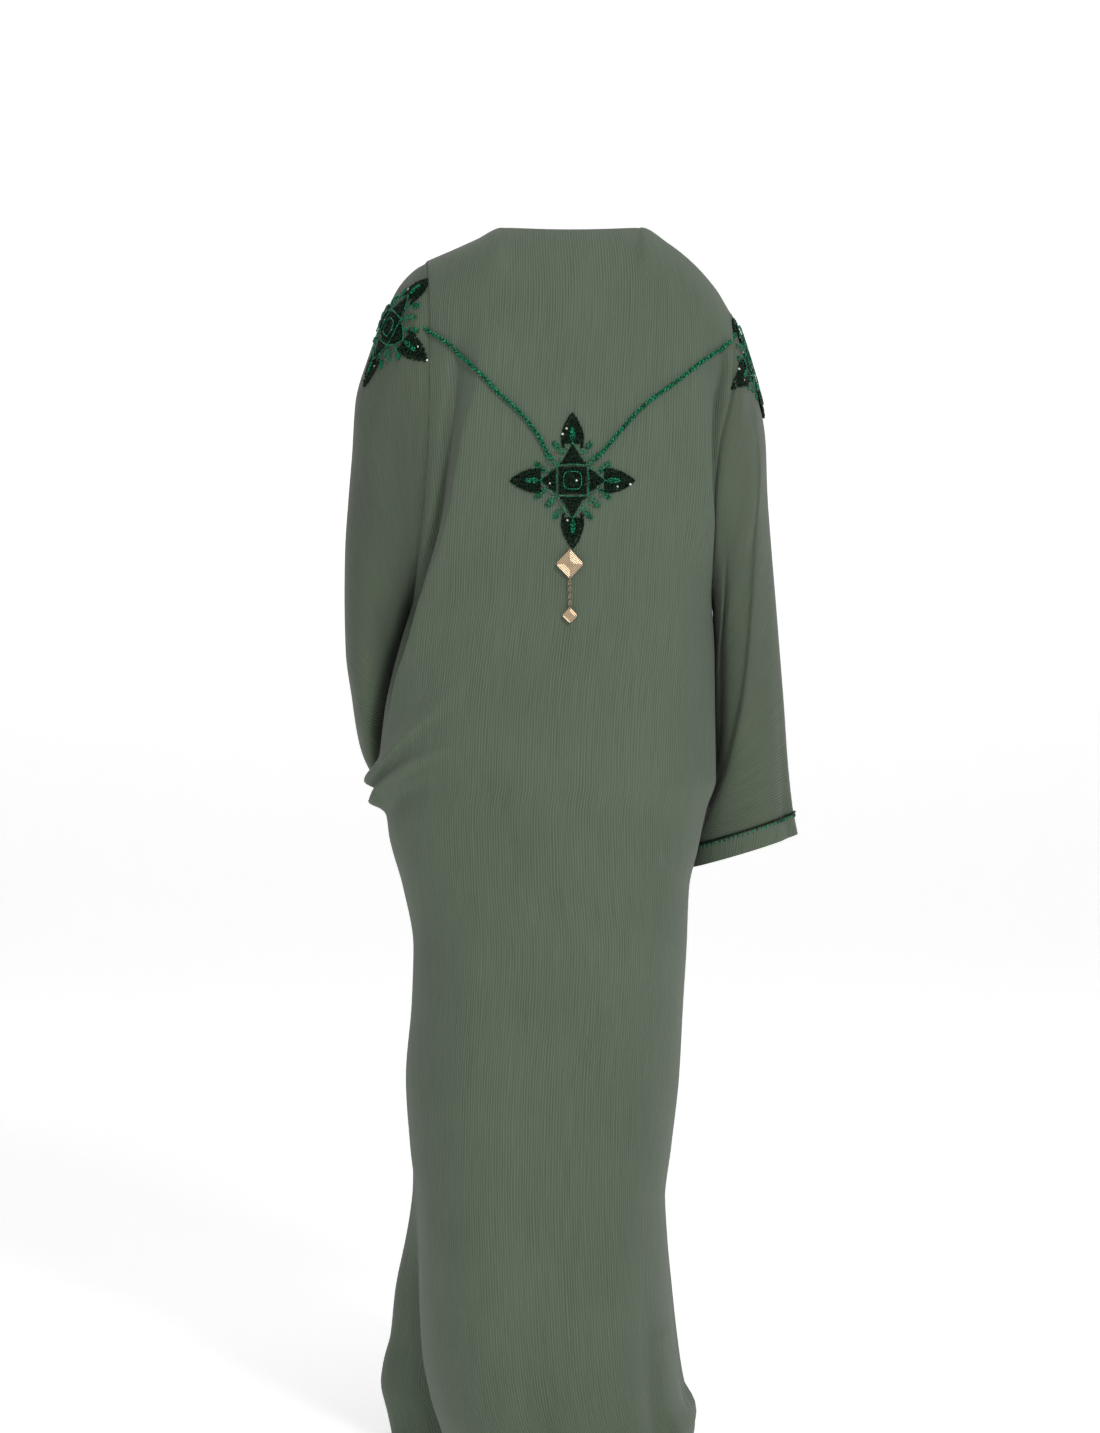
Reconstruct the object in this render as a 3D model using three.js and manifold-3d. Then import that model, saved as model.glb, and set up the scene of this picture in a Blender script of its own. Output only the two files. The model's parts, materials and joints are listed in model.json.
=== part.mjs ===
// A long, straight-cut abaya in crinkled crepe, in the hollow form that it takes when worn, seen from
// behind. One hand has been pushed into the left hip, so that sleeve bends and the back gathers there
// in folds. Millimetres. +Z is up, +X is the wearer's right, -Y is the back of the garment and +Y is
// its front. The origin is midway between the shoulders, level with the middle of the shoulder line.
import * as THREE from "three";
import { mergeVertices } from "three/addons/utils/BufferGeometryUtils.js";
import Module from "manifold-3d";

// Cloth and seams
const CLOTH = 1.6;
const CUFF_CLOTH = 2.0;
const SEAM_GAP = 0.4;
// Where a seam is folded sharply its gap opens wider, but no further than this squared cosine gives.
const SHARPEST_SEAM = 0.97;
// How far a sleeve stands out from the side seam right under the arm, where both fall from one point,
// and how much of that is left one column further round.
const UNDERARM_EASE = { most: 2.4, next: 0.5 };

// Body levels
const HEM_Z = -1431;
const UNDERARM_Z = -428;

// The rows of the body grid, from the hem up to the underarm, closer together where the hip gathers.
const SKIRT_ROWS = [
  -1431, -1412, -1390, -1360, -1315, -1260, -1200, -1140, -1080, -1010, -940, -870, -805, -750, -712, -686,
  -673, -666, -659, -652, -645, -637, -628, -615, -595, -570, -540, -505, -468, -428,
];
const ARMHOLE_STEPS = 12;
const BACK_COLUMNS = 27;
const FRONT_COLUMNS = 11;
// How much the columns of the back crowd towards its edges, where the folds are.
const CROWDING = 0.45;

// The outline of the body tube at each level: its left and right edges, and how far back and front it
// reaches.
const BODY = [
  { z: -1431, left: -148, right: 138, back: -166, front: 171 },
  { z: -1400, left: -157, right: 146, back: -164, front: 168 },
  { z: -1370, left: -167, right: 132, back: -161, front: 165 },
  { z: -1310, left: -178, right: 123, back: -157, front: 160 },
  { z: -1250, left: -181, right: 117, back: -154, front: 156 },
  { z: -1190, left: -182, right: 112, back: -151, front: 153 },
  { z: -1140, left: -184, right: 110, back: -149, front: 151 },
  { z: -1070, left: -192, right: 118, back: -147, front: 149 },
  { z: -990, left: -197, right: 127, back: -145, front: 147 },
  { z: -900, left: -190, right: 132, back: -145, front: 144 },
  { z: -835, left: -188, right: 136, back: -146, front: 141 },
  { z: -765, left: -200, right: 139, back: -146, front: 138 },
  { z: -720, left: -213, right: 149, back: -144, front: 136 },
  { z: -670, left: -226, right: 160, back: -142, front: 133 },
  { z: -635, left: -229, right: 171, back: -140, front: 131 },
  { z: -560, left: -223, right: 170, back: -137, front: 130 },
  { z: -480, left: -205, right: 169, back: -133, front: 132 },
  { z: -428, left: -189, right: 166, back: -131, front: 134 },
];

// How much further left than the back the front swings out near the hem.
const FRONT_SWING = [
  { z: -1431, out: 69 },
  { z: -1400, out: 67 },
  { z: -1370, out: 64 },
  { z: -1350, out: 57 },
  { z: -1310, out: 40 },
  { z: -1250, out: 30 },
  { z: -1190, out: 16 },
  { z: -1140, out: 6 },
  { z: -1100, out: 0 },
];

// The armholes, from the underarm (t = 0) to the shoulder tip (t = 1), and the body's reach between them.
const ARMHOLE = [
  { t: 0, left: -189, right: 166, backEdge: 0, frontEdge: 0, back: -131, front: 134, spread: 90 },
  { t: 0.08, left: -183, right: 165, backEdge: -38, frontEdge: 38, back: -130.4, front: 136, spread: 72 },
  { t: 0.2, left: -175, right: 167, backEdge: -68, frontEdge: 64, back: -129.2, front: 138, spread: 60 },
  { t: 0.4, left: -167, right: 174, backEdge: -88, frontEdge: 78, back: -126, front: 134, spread: 52 },
  { t: 0.62, left: -166, right: 188, backEdge: -88, frontEdge: 74, back: -116, front: 112, spread: 50 },
  { t: 1, left: -173, right: 186, backEdge: -88, frontEdge: 70, back: -112, front: 100, spread: 50 },
];
const ROUNDING_T = 0.62;

// The shoulder line across the garment, and the neck hole cut into it.
const NECK_Z = 20;
const SHOULDER = [
  { x: -190, z: -28 },
  { x: -173, z: -20 },
  { x: -140, z: -6 },
  { x: -113, z: 6 },
  { x: -82, z: NECK_Z },
  { x: 82, z: NECK_Z },
  { x: 113, z: 2 },
  { x: 140, z: -19 },
  { x: 170, z: -52 },
  { x: 186, z: -78 },
  { x: 200, z: -100 },
];
const SHOULDER_Y = 5;
const SHOULDER_DROP = 78;
const NECK_HALF_WIDTH = 82;
const NECK = {
  back: { depth: 66, fall: 10, roll: 48 },
  front: { depth: 78, fall: 92, roll: 62 },
};

// The fronts lap over each other at the centre, the wearer's right one on top.
const LAP = { width: 15, lift: 3.6, ease: 45 };

// How much squarer than an ellipse a body section is, and the length of its arc as a share of a half
// circle's.
const SQUARENESS = 0.22;
const ARC_SHARE = 0.86;

// Long folds of the body. A path gives x on the back at each level, h is the height there, and the two
// widths are those of the left and right flank. Negative heights are troughs.
const BACK_FOLDS = [
  {
    name: "left ridge",
    leftWidth: 9,
    rightWidth: 40,
    path: [
      { z: -80, x: -106, h: 0 },
      { z: -160, x: -107, h: 5 },
      { z: -240, x: -125, h: 9 },
      { z: -326, x: -139, h: 12 },
      { z: -430, x: -170, h: 14 },
      { z: -481, x: -185, h: 13 },
      { z: -526, x: -203, h: 8 },
      { z: -575, x: -215, h: 2 },
      { z: -620, x: -222, h: 0 },
    ],
  },
  {
    name: "left trough",
    leftWidth: 11,
    rightWidth: 10,
    path: [
      { z: -120, x: -128, h: 0 },
      { z: -175, x: -133, h: -4 },
      { z: -316, x: -151, h: -8 },
      { z: -422, x: -179, h: -12 },
      { z: -481, x: -195, h: -11 },
      { z: -530, x: -210, h: -5 },
      { z: -575, x: -217, h: 0 },
    ],
  },
  {
    name: "right ridge",
    leftWidth: 32,
    rightWidth: 8,
    path: [
      { z: -100, x: 150, h: 0 },
      { z: -150, x: 151, h: 4 },
      { z: -230, x: 156, h: 8 },
      { z: -302, x: 158, h: 8 },
      { z: -388, x: 160, h: 4 },
      { z: -450, x: 162, h: 0 },
    ],
  },
  {
    name: "right trough",
    leftWidth: 8,
    rightWidth: 8,
    path: [
      { z: -110, x: 178, h: 0 },
      { z: -153, x: 175, h: -8 },
      { z: -195, x: 170, h: -10 },
      { z: -240, x: 167, h: -8 },
      { z: -300, x: 167, h: 0 },
    ],
  },
  {
    name: "hem trough, middle",
    leftWidth: 18,
    rightWidth: 15,
    path: [
      { z: -1200, x: -52, h: 0 },
      { z: -1313, x: -43, h: -4 },
      { z: -1375, x: -36, h: -8 },
      { z: -1431, x: -6, h: -10 },
    ],
  },
  {
    name: "hem trough, right",
    leftWidth: 20,
    rightWidth: 16,
    path: [
      { z: -1180, x: 76, h: 0 },
      { z: -1260, x: 84, h: -4 },
      { z: -1336, x: 92, h: -10 },
      { z: -1431, x: 108, h: -17 },
    ],
  },
  {
    name: "skirt swell, left",
    leftWidth: 50,
    rightWidth: 60,
    path: [
      { z: -700, x: -110, h: 0 },
      { z: -900, x: -112, h: 4 },
      { z: -1431, x: -100, h: 9 },
    ],
  },
  {
    name: "skirt swell, right",
    leftWidth: 45,
    rightWidth: 40,
    path: [
      { z: -600, x: 60, h: 0 },
      { z: -900, x: 48, h: 4 },
      { z: -1431, x: 52, h: 10 },
    ],
  },
];

// Folds of the fronts, placed by the share of the way round from the side seam (1) to the centre (2).
const FRONT_FOLDS = [
  { side: -1, at: 1.24, width: 26, top: -520, foot: 15 },
  { side: -1, at: 1.5, width: 24, top: -330, foot: 19 },
  { side: -1, at: 1.76, width: 22, top: -420, foot: 13 },
  { side: 1, at: 1.26, width: 25, top: -470, foot: 16 },
  { side: 1, at: 1.52, width: 24, top: -320, foot: 18 },
  { side: 1, at: 1.78, width: 20, top: -450, foot: 12 },
];

// Folds that run out across the body from the hand at the left hip. A path gives the level and the
// height against the share of the way round: 0 is the centre back, -1 the left side seam and beyond it
// the left front.
const HIP_FOLDS = [
  {
    name: "upper ridge",
    above: 17,
    below: 7,
    path: [
      { a: -1.35, z: -640, h: 0 },
      { a: -1.12, z: -641, h: 9 },
      { a: -0.97, z: -637, h: 18 },
      { a: -0.85, z: -627, h: 13 },
      { a: -0.71, z: -604, h: 8 },
      { a: -0.56, z: -574, h: 4.5 },
      { a: -0.34, z: -530, h: 0 },
    ],
  },
  {
    name: "lower ridge",
    above: 6,
    below: 8,
    path: [
      { a: -1.35, z: -658, h: 0 },
      { a: -1.12, z: -659, h: 8 },
      { a: -0.97, z: -660, h: 15 },
      { a: -0.85, z: -646, h: 11 },
      { a: -0.68, z: -628, h: 6 },
      { a: -0.52, z: -609, h: 3 },
      { a: -0.34, z: -592, h: 0 },
    ],
  },
  {
    name: "trough under the ridges",
    above: 9,
    below: 20,
    path: [
      { a: -1.3, z: -684, h: 0 },
      { a: -1.0, z: -680, h: -3 },
      { a: -0.8, z: -668, h: -6 },
      { a: -0.6, z: -650, h: -4 },
      { a: -0.38, z: -636, h: 0 },
    ],
  },
];

// The sleeves, section by section from the armhole: the outer edge, the inner edge under the arm, the
// middle of the section from back to front and its half depth. "own" is how far the section still
// keeps the armhole's shape, and "tilt" is how many degrees its front is raised, as the forearm comes
// forward.
const LEFT_SLEEVE = [
  { outX: -173, outZ: -34, inX: -189, inZ: -428, y: 0, half: 80, own: 1, tilt: 0 },
  { outX: -199, outZ: -46, inX: -195, inZ: -437, y: 4, half: 84, own: 0.8, tilt: 0 },
  { outX: -222, outZ: -84, inX: -197.8, inZ: -447, y: 9, half: 84, own: 0.6, tilt: 0 },
  { outX: -243, outZ: -134, inX: -200.7, inZ: -457, y: 13, half: 82, own: 0.4, tilt: 0 },
  { outX: -258, outZ: -186, inX: -203.6, inZ: -466, y: 17, half: 80, own: 0.2, tilt: 0 },
  { outX: -262, outZ: -245, inX: -206.4, inZ: -476, y: 21, half: 78, own: 0, tilt: 0 },
  { outX: -267, outZ: -304, inX: -209.4, inZ: -487, y: 25, half: 76, own: 0, tilt: 0 },
  { outX: -271, outZ: -363, inX: -212.8, inZ: -500, y: 29, half: 74, own: 0, tilt: 0 },
  { outX: -272, outZ: -422, inX: -215.4, inZ: -516, y: 34, half: 71, own: 0, tilt: 0 },
  { outX: -271, outZ: -481, inX: -218.2, inZ: -537, y: 42, half: 71, own: 0, tilt: 8 },
  { outX: -265, outZ: -529, inX: -223.5, inZ: -562, y: 58, half: 68, own: 0, tilt: 20 },
  { outX: -260, outZ: -568, inX: -225, inZ: -590, y: 90, half: 63, own: 0, tilt: 34 },
  { outX: -248, outZ: -598, inX: -202, inZ: -612, y: 120, half: 62, own: 0, tilt: 45 },
  { outX: -240, outZ: -618, inX: -166, inZ: -630, y: 154, half: 61, own: 0, tilt: 50 },
];
const LEFT_CUFF_END = { outX: -234, outZ: -634, inX: -144, inZ: -650, y: 180, half: 62, own: 0, tilt: 52 };
const RIGHT_SLEEVE = [
  { outX: 186, outZ: -78, inX: 166, inZ: -428, y: 0, half: 80, own: 1, tilt: 0 },
  { outX: 197, outZ: -107, inX: 170, inZ: -437, y: 4, half: 82, own: 0.8, tilt: 0 },
  { outX: 210, outZ: -142, inX: 170.2, inZ: -450, y: 9, half: 82, own: 0.6, tilt: 0 },
  { outX: 223, outZ: -184, inX: 170.5, inZ: -466, y: 14, half: 80, own: 0.4, tilt: 0 },
  { outX: 231, outZ: -234, inX: 170.5, inZ: -486, y: 18, half: 78, own: 0.2, tilt: 0 },
  { outX: 233.5, outZ: -293, inX: 170.4, inZ: -510, y: 22, half: 75, own: 0, tilt: 0 },
  { outX: 238, outZ: -352, inX: 170.5, inZ: -538, y: 26, half: 72, own: 0, tilt: 0 },
  { outX: 244, outZ: -422, inX: 170.7, inZ: -568, y: 29, half: 69, own: 0, tilt: 0 },
  { outX: 250, outZ: -493, inX: 171.1, inZ: -601, y: 34, half: 66, own: 0, tilt: 0 },
  { outX: 255, outZ: -552, inX: 171, inZ: -633, y: 40, half: 64, own: 0, tilt: 0 },
  { outX: 259.5, outZ: -611, inX: 165, inZ: -664, y: 47, half: 62, own: 0, tilt: 0 },
  { outX: 264, outZ: -652, inX: 158, inZ: -694, y: 55, half: 61, own: 0, tilt: 0 },
  { outX: 267.5, outZ: -677, inX: 153.5, inZ: -714, y: 60, half: 61, own: 0, tilt: 0 },
];
const RIGHT_CUFF_END = { outX: 273, outZ: -703, inX: 151, inZ: -741, y: 66, half: 63, own: 0, tilt: 0 };
// How much less than straight out from its middle a sleeve's folds lean towards its outer and inner edges.
const FOLD_LEAN = 0.6;
const SLEEVE_STEPS = 15;
const CUFF_STEPS = 2;

// Folds along the sleeves. "turn" is the angle round from the outer edge, 90 at the back and 180 under
// the arm. "share" runs from the armhole (0) to the cuff seam (1).
const LEFT_SLEEVE_FOLDS = [
  {
    outWidth: 7,
    inWidth: 22,
    path: [
      { share: 0.4, turn: 92, h: 0 },
      { share: 0.55, turn: 100, h: 7 },
      { share: 0.7, turn: 117, h: 11 },
      { share: 0.82, turn: 118, h: 10 },
      { share: 1, turn: 120, h: 4 },
    ],
  },
  {
    outWidth: 16,
    inWidth: 10,
    path: [
      { share: 0.3, turn: 60, h: 0 },
      { share: 0.55, turn: 74, h: -5 },
      { share: 0.72, turn: 86, h: -9 },
      { share: 0.85, turn: 88, h: -8 },
      { share: 1, turn: 90, h: -3 },
    ],
  },
  {
    outWidth: 20,
    inWidth: 20,
    path: [
      { share: 0.25, turn: 250, h: 0 },
      { share: 0.6, turn: 256, h: 8 },
      { share: 1, turn: 262, h: 6 },
    ],
  },
];
const RIGHT_SLEEVE_FOLDS = [
  {
    outWidth: 36,
    inWidth: 7,
    path: [
      { share: 0.18, turn: 44, h: 0 },
      { share: 0.34, turn: 54, h: 5 },
      { share: 0.58, turn: 88, h: 9 },
      { share: 0.76, turn: 128, h: 10 },
      { share: 0.88, turn: 150, h: 9 },
      { share: 1, turn: 166, h: 7 },
    ],
  },
  {
    outWidth: 14,
    inWidth: 16,
    path: [
      { share: 0.25, turn: 132, h: 0 },
      { share: 0.42, turn: 140, h: -9 },
      { share: 0.6, turn: 148, h: -8 },
      { share: 0.8, turn: 166, h: 0 },
    ],
  },
  {
    outWidth: 14,
    inWidth: 14,
    path: [
      { share: 0.6, turn: 38, h: 0 },
      { share: 0.85, turn: 36, h: -4 },
      { share: 1, turn: 34, h: -8 },
    ],
  },
  {
    outWidth: 20,
    inWidth: 20,
    path: [
      { share: 0.3, turn: 262, h: 0 },
      { share: 0.7, turn: 268, h: 9 },
      { share: 1, turn: 272, h: 10 },
    ],
  },
];

// The beaded star, the same on the back and on each shoulder: four petals, a core and three sprigs in
// each corner. Lengths run from the middle, and turns are in degrees. A sprig starts at a share of the
// core.
const STAR = {
  petal: 76,
  petalTurn: 12,
  core: 37,
  sprig: 44,
  sprigTurn: 3,
  sprigTurns: [22.5, 45, 67.5],
  sprigRoot: 0.74,
  middle: 2.6,
  edge: 1.7,
  rings: 4,
  turns: 48,
};
const BACK_STAR = { x: 0, z: -289, turned: 0 };
const LEFT_STAR = { x: -212, z: -106, turned: 20 };
const RIGHT_STAR = { x: 211, z: -148, turned: -20 };
const ON_CLOTH_GAP = 0.7;

// The twisted cords of beads that run from the shoulders to the star on the back, as x and z on the back.
const ROPE = { radius: 2.6, sides: 6, steps: 18 };
const LEFT_ROPE = [
  { x: -162, z: -116 },
  { x: -150, z: -123 },
  { x: -125, z: -145 },
  { x: -85, z: -188 },
  { x: -60, z: -211 },
  { x: -36, z: -240 },
];
const RIGHT_ROPE = [
  { x: 180, z: -130 },
  { x: 163, z: -139 },
  { x: 127, z: -168 },
  { x: 80, z: -204 },
  { x: 58, z: -228 },
  { x: 38, z: -254 },
];

// The line of beads over each cuff seam.
const BEAD_LINE = { radius: 1.7, sides: 4 };

// The pendant: a sewn loop, a jump ring, a square plate on its corner, a second ring, a chain and a
// smaller plate. "turn" is the radius of a link's round ends, to the middle of its wire.
const WIRE = { radius: 0.45, sides: 5, bend: 5 };
const LOOP = { turn: 1.8, straight: 2.8 };
const RING = { turn: 2.6, straight: 0 };
const LINK = { turn: 1.35, straight: 2.6 };
const LINK_COUNT = 8;
const PENDANT = { x: -3, top: -368.5, offCloth: 8 };
const PLATE = { half: 15, thick: 1.2, corner: 3, eye: 1.75, hole: 0.95, eyeAt: 14.6 };
const DROP = { half: 8, thick: 1, corner: 2.6, eye: 1.75, hole: 0.95, eyeAt: 8 };
// Half the angle that the round of an eye's tab spans, and of a plain corner, in degrees.
const CORNER_SPAN = { tab: 75.6, plain: 45 };

// Colours and finishes
const COLOURS = {
  crepe: new THREE.MeshStandardMaterial({ color: 0x5a6957, roughness: 0.82, metalness: 0 }),
  beads: new THREE.MeshStandardMaterial({ color: 0x10291a, roughness: 0.25, metalness: 0.1 }),
  cord: new THREE.MeshStandardMaterial({ color: 0x0c6a45, roughness: 0.3, metalness: 0.1 }),
  gilt: new THREE.MeshStandardMaterial({ color: 0xc2a47e, roughness: 0.35, metalness: 0.9 }),
};

const wasm = await Module();
wasm.setup();
const WELD = 1e-4;

const radians = THREE.MathUtils.degToRad;
const clamp = THREE.MathUtils.clamp;
const lerp = THREE.MathUtils.lerp;

// The value of a table's column at a place, on a smooth curve through the rows that never runs past them.
function along(table, key, column, at) {
  const rows = table[0][key] < table[table.length - 1][key] ? table : [...table].reverse();
  const last = rows.length - 1;
  if (at <= rows[0][key]) return rows[0][column];
  if (at >= rows[last][key]) return rows[last][column];
  let i = 0;
  while (at > rows[i + 1][key]) i++;
  const slope = (j) => (rows[j + 1][column] - rows[j][column]) / (rows[j + 1][key] - rows[j][key]);
  const tangent = (j) => {
    if (j === 0) return slope(0);
    if (j === last) return slope(last - 1);
    const before = slope(j - 1);
    const after = slope(j);
    return before * after <= 0 ? 0 : (2 * before * after) / (before + after);
  };
  const span = rows[i + 1][key] - rows[i][key];
  const s = (at - rows[i][key]) / span;
  return (
    rows[i][column] * (1 + 2 * s) * (1 - s) ** 2 +
    tangent(i) * span * s * (1 - s) ** 2 +
    rows[i + 1][column] * s * s * (3 - 2 * s) +
    tangent(i + 1) * span * s * s * (s - 1)
  );
}

// A bell of height 1 with its own width on each side.
function bell(distance, below, above) {
  const width = distance < 0 ? below : above;
  return Math.exp(-((distance / width) ** 2));
}

const smooth = (low, high, value) => THREE.MathUtils.smoothstep(value, low, high);

// Body surface. Rows are numbered by v: 0 at the hem, 1 at the underarm and 2 at the shoulder and neck.
const squared = (turn) => Math.cos(turn) * (1 + SQUARENESS * Math.sin(turn) ** 2);

// The section of the body at a row: its edges, its reach and how far round each half spans.
function section(v, face) {
  if (v <= 1) {
    const z = lerp(HEM_Z, UNDERARM_Z, v);
    return {
      left: along(BODY, "z", "left", z),
      right: along(BODY, "z", "right", z),
      edge: 0,
      reach: along(BODY, "z", face, z),
      spread: Math.PI / 2,
    };
  }
  const t = v - 1;
  return {
    left: along(ARMHOLE, "t", "left", t),
    right: along(ARMHOLE, "t", "right", t),
    edge: along(ARMHOLE, "t", face + "Edge", Math.min(t, ROUNDING_T)),
    reach: along(ARMHOLE, "t", face, Math.min(t, ROUNDING_T)),
    spread: radians(along(ARMHOLE, "t", "spread", t)),
  };
}

// The edge where a body column ends: on the shoulder seam, or on the neck between its corners.
function topEdge(x, face) {
  const neck = NECK[face];
  const side = face === "back" ? -1 : 1;
  const share = Math.min(1, Math.abs(x) / NECK_HALF_WIDTH);
  const round = Math.sqrt(1 - share * share);
  const z = share === 1 ? along(SHOULDER, "x", "z", x) : NECK_Z - neck.fall * round ** 1.5;
  return {
    y: SHOULDER_Y + side * neck.depth * round,
    z,
    roll: radians(lerp(90, neck.roll, smooth(0, 0.6, round))),
  };
}

// A point of the plain body surface, before folds. u runs from -1 at the left edge to 1 at the right.
function plainBody(u, v, face) {
  const at = section(v, face);
  const turn = at.spread * u;
  const middle = (at.left + at.right) / 2;
  const x = middle + ((at.right - at.left) / 2) * (Math.sin(turn) / Math.sin(at.spread));
  const floor = squared(at.spread);
  const share = (squared(turn) - floor) / (squared(0) - floor);
  const y = lerp(at.edge, at.reach, share);
  if (v <= 1) {
    const z = lerp(HEM_Z, UNDERARM_Z, v);
    return new THREE.Vector3(x + frontSwing(u, z, face), y, z);
  }
  const t = v - 1;
  const top = topEdge(x, face);
  const shoulderFoot = top.z - SHOULDER_DROP;
  if (t <= ROUNDING_T) {
    return new THREE.Vector3(x, y, lerp(UNDERARM_Z, shoulderFoot, t / ROUNDING_T));
  }
  const roll = (top.roll * (t - ROUNDING_T)) / (1 - ROUNDING_T);
  const over = (Math.cos(roll) - Math.cos(top.roll)) / (1 - Math.cos(top.roll));
  return new THREE.Vector3(
    x,
    lerp(top.y, y, over),
    shoulderFoot + (SHOULDER_DROP * Math.sin(roll)) / Math.sin(top.roll),
  );
}

// How far the left front stands out past the back near the hem.
function frontSwing(u, z, face) {
  if (face === "back" || u > 0) return 0;
  const fromSeam = (1 + u) * 90;
  return -along(FRONT_SWING, "z", "out", z) * smooth(0, 24, fromSeam) * Math.cos(radians(fromSeam)) ** 0.7;
}

// The share of the way round the body: 0 at the centre back, 1 at a side seam and 2 at the centre front.
const wayRound = (u, face) => (face === "back" ? u : Math.sign(u) * (2 - Math.abs(u)));

// The u at which the plain body has a given x.
function columnAt(x, v, face) {
  const at = section(v, face);
  const s = clamp(((x - (at.left + at.right) / 2) * 2) / (at.right - at.left), -1, 1);
  return Math.asin(s * Math.sin(at.spread)) / at.spread;
}

// The height of all folds at a point of the body.
function bodyFolds(u, v, face, point) {
  const at = section(v, face);
  const halfRow = ((at.right - at.left) / 2) * (at.spread / Math.sin(at.spread)) * ARC_SHARE;
  const around = wayRound(u, face);
  let height = 0;
  for (const fold of BACK_FOLDS) {
    const h = along(fold.path, "z", "h", point.z);
    if (h === 0) continue;
    const centre = columnAt(along(fold.path, "z", "x", point.z), v, "back");
    height += h * bell((around - centre) * halfRow, fold.leftWidth, fold.rightWidth);
  }
  for (const fold of HIP_FOLDS) {
    const h = along(fold.path, "a", "h", around);
    const z = along(fold.path, "a", "z", around);
    height += h * bell(point.z - z, fold.below, fold.above);
  }
  if (face === "front" && v <= 1.6) {
    for (const fold of FRONT_FOLDS) {
      const h = fold.foot * smooth(fold.top, HEM_Z, point.z);
      height += h * bell((around - fold.side * fold.at) * halfRow, fold.width, fold.width);
    }
  }
  return height;
}

// A point of the finished body surface: the plain point moved out along its own normal by the folds'
// height.
function bodyPoint(u, v, face) {
  const step = 1e-3;
  const point = plainBody(u, v, face);
  const across = plainBody(Math.min(1, u + step), v, face).sub(plainBody(Math.max(-1, u - step), v, face));
  const up = plainBody(u, Math.min(2, v + step), face).sub(plainBody(u, Math.max(0, v - step), face));
  const out = new THREE.Vector3().crossVectors(across, up).normalize();
  if (face === "front") out.negate();
  const seam = smooth(0, 0.1, 2 - v);
  return point.addScaledVector(out, bodyFolds(u, v, face, point) * seam);
}

// A grid of points: rows[j][i] is the point at column i of row j.
const grid = (columns, rows, pointAt) => rows.map((row) => columns.map((column) => pointAt(column, row)));

// The unit normals of a grid whose faces point out when columns and rows turn anticlockwise seen from
// outside.
function normalsOf(points, closed) {
  const count = points[0].length;
  return points.map((row, j) =>
    row.map((_, i) => {
      const before = closed ? row[(i + count - 1) % count] : row[Math.max(0, i - 1)];
      const after = closed ? row[(i + 1) % count] : row[Math.min(count - 1, i + 1)];
      const below = points[Math.max(0, j - 1)][i];
      const above = points[Math.min(points.length - 1, j + 1)][i];
      const across = new THREE.Vector3().subVectors(after, before);
      const up = new THREE.Vector3().subVectors(above, below);
      return new THREE.Vector3().crossVectors(across, up).normalize();
    }),
  );
}

// Gives every set of points that meet at a seam the same normal, the mean of theirs.
function joinNormals(...members) {
  const mean = new THREE.Vector3();
  for (const { normals, row, column } of members) mean.add(normals[row][column]);
  mean.normalize();
  for (const { normals, row, column } of members) normals[row][column] = mean.clone();
}

// Draws an edge back from its seam, square to the seam and towards the next line of points, so that
// the two walls end a seam gap apart. Where the seam is folded sharply, each wall is drawn back
// further for that.
function drawBack(edge, next, edgeNormals, closed) {
  const count = edge.length;
  const shifts = edge.map((point, i) => {
    const before = closed ? edge[(i + count - 1) % count] : edge[Math.max(0, i - 1)];
    const after = closed ? edge[(i + 1) % count] : edge[Math.min(count - 1, i + 1)];
    const seam = new THREE.Vector3().subVectors(after, before).normalize();
    const inward = new THREE.Vector3().subVectors(next[i], point);
    inward.addScaledVector(seam, -inward.dot(seam)).normalize();
    const opening = Math.sqrt(1 - Math.min(SHARPEST_SEAM, inward.dot(edgeNormals[i]) ** 2));
    return inward.multiplyScalar(SEAM_GAP / 2 / opening);
  });
  edge.forEach((point, i) => point.add(shifts[i]));
}

// A closed wall of cloth about a grid of points, as one mesh.
function wall(points, normals, thickness, closed) {
  const rowCount = points.length;
  const count = points[0].length;
  const positions = [];
  for (const side of [0.5, -0.5]) {
    points.forEach((row, j) =>
      row.forEach((point, i) => {
        const moved = point.clone().addScaledVector(normals[j][i], side * thickness);
        positions.push(moved.x, moved.y, moved.z);
      }),
    );
  }
  const indices = [];
  const at = (side, j, i) => side * rowCount * count + j * count + (i % count);
  const quad = (a, b, c, d) => indices.push(a, b, c, a, c, d);
  const spans = closed ? count : count - 1;
  for (let j = 0; j < rowCount - 1; j++) {
    for (let i = 0; i < spans; i++) {
      quad(at(0, j, i), at(0, j, i + 1), at(0, j + 1, i + 1), at(0, j + 1, i));
      quad(at(1, j, i), at(1, j + 1, i), at(1, j + 1, i + 1), at(1, j, i + 1));
    }
  }
  for (let i = 0; i < spans; i++) {
    quad(at(0, 0, i), at(1, 0, i), at(1, 0, i + 1), at(0, 0, i + 1));
    const top = rowCount - 1;
    quad(at(0, top, i), at(0, top, i + 1), at(1, top, i + 1), at(1, top, i));
  }
  if (!closed) {
    for (let j = 0; j < rowCount - 1; j++) {
      quad(at(0, j, 0), at(0, j + 1, 0), at(1, j + 1, 0), at(1, j, 0));
      const end = count - 1;
      quad(at(0, j, end), at(1, j, end), at(1, j + 1, end), at(0, j + 1, end));
    }
  }
  return shape(positions, indices);
}

function shape(positions, indices) {
  const geometry = new THREE.BufferGeometry();
  geometry.setAttribute("position", new THREE.Float32BufferAttribute(positions, 3));
  geometry.setIndex([...indices]);
  geometry.computeVertexNormals();
  return geometry;
}

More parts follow.
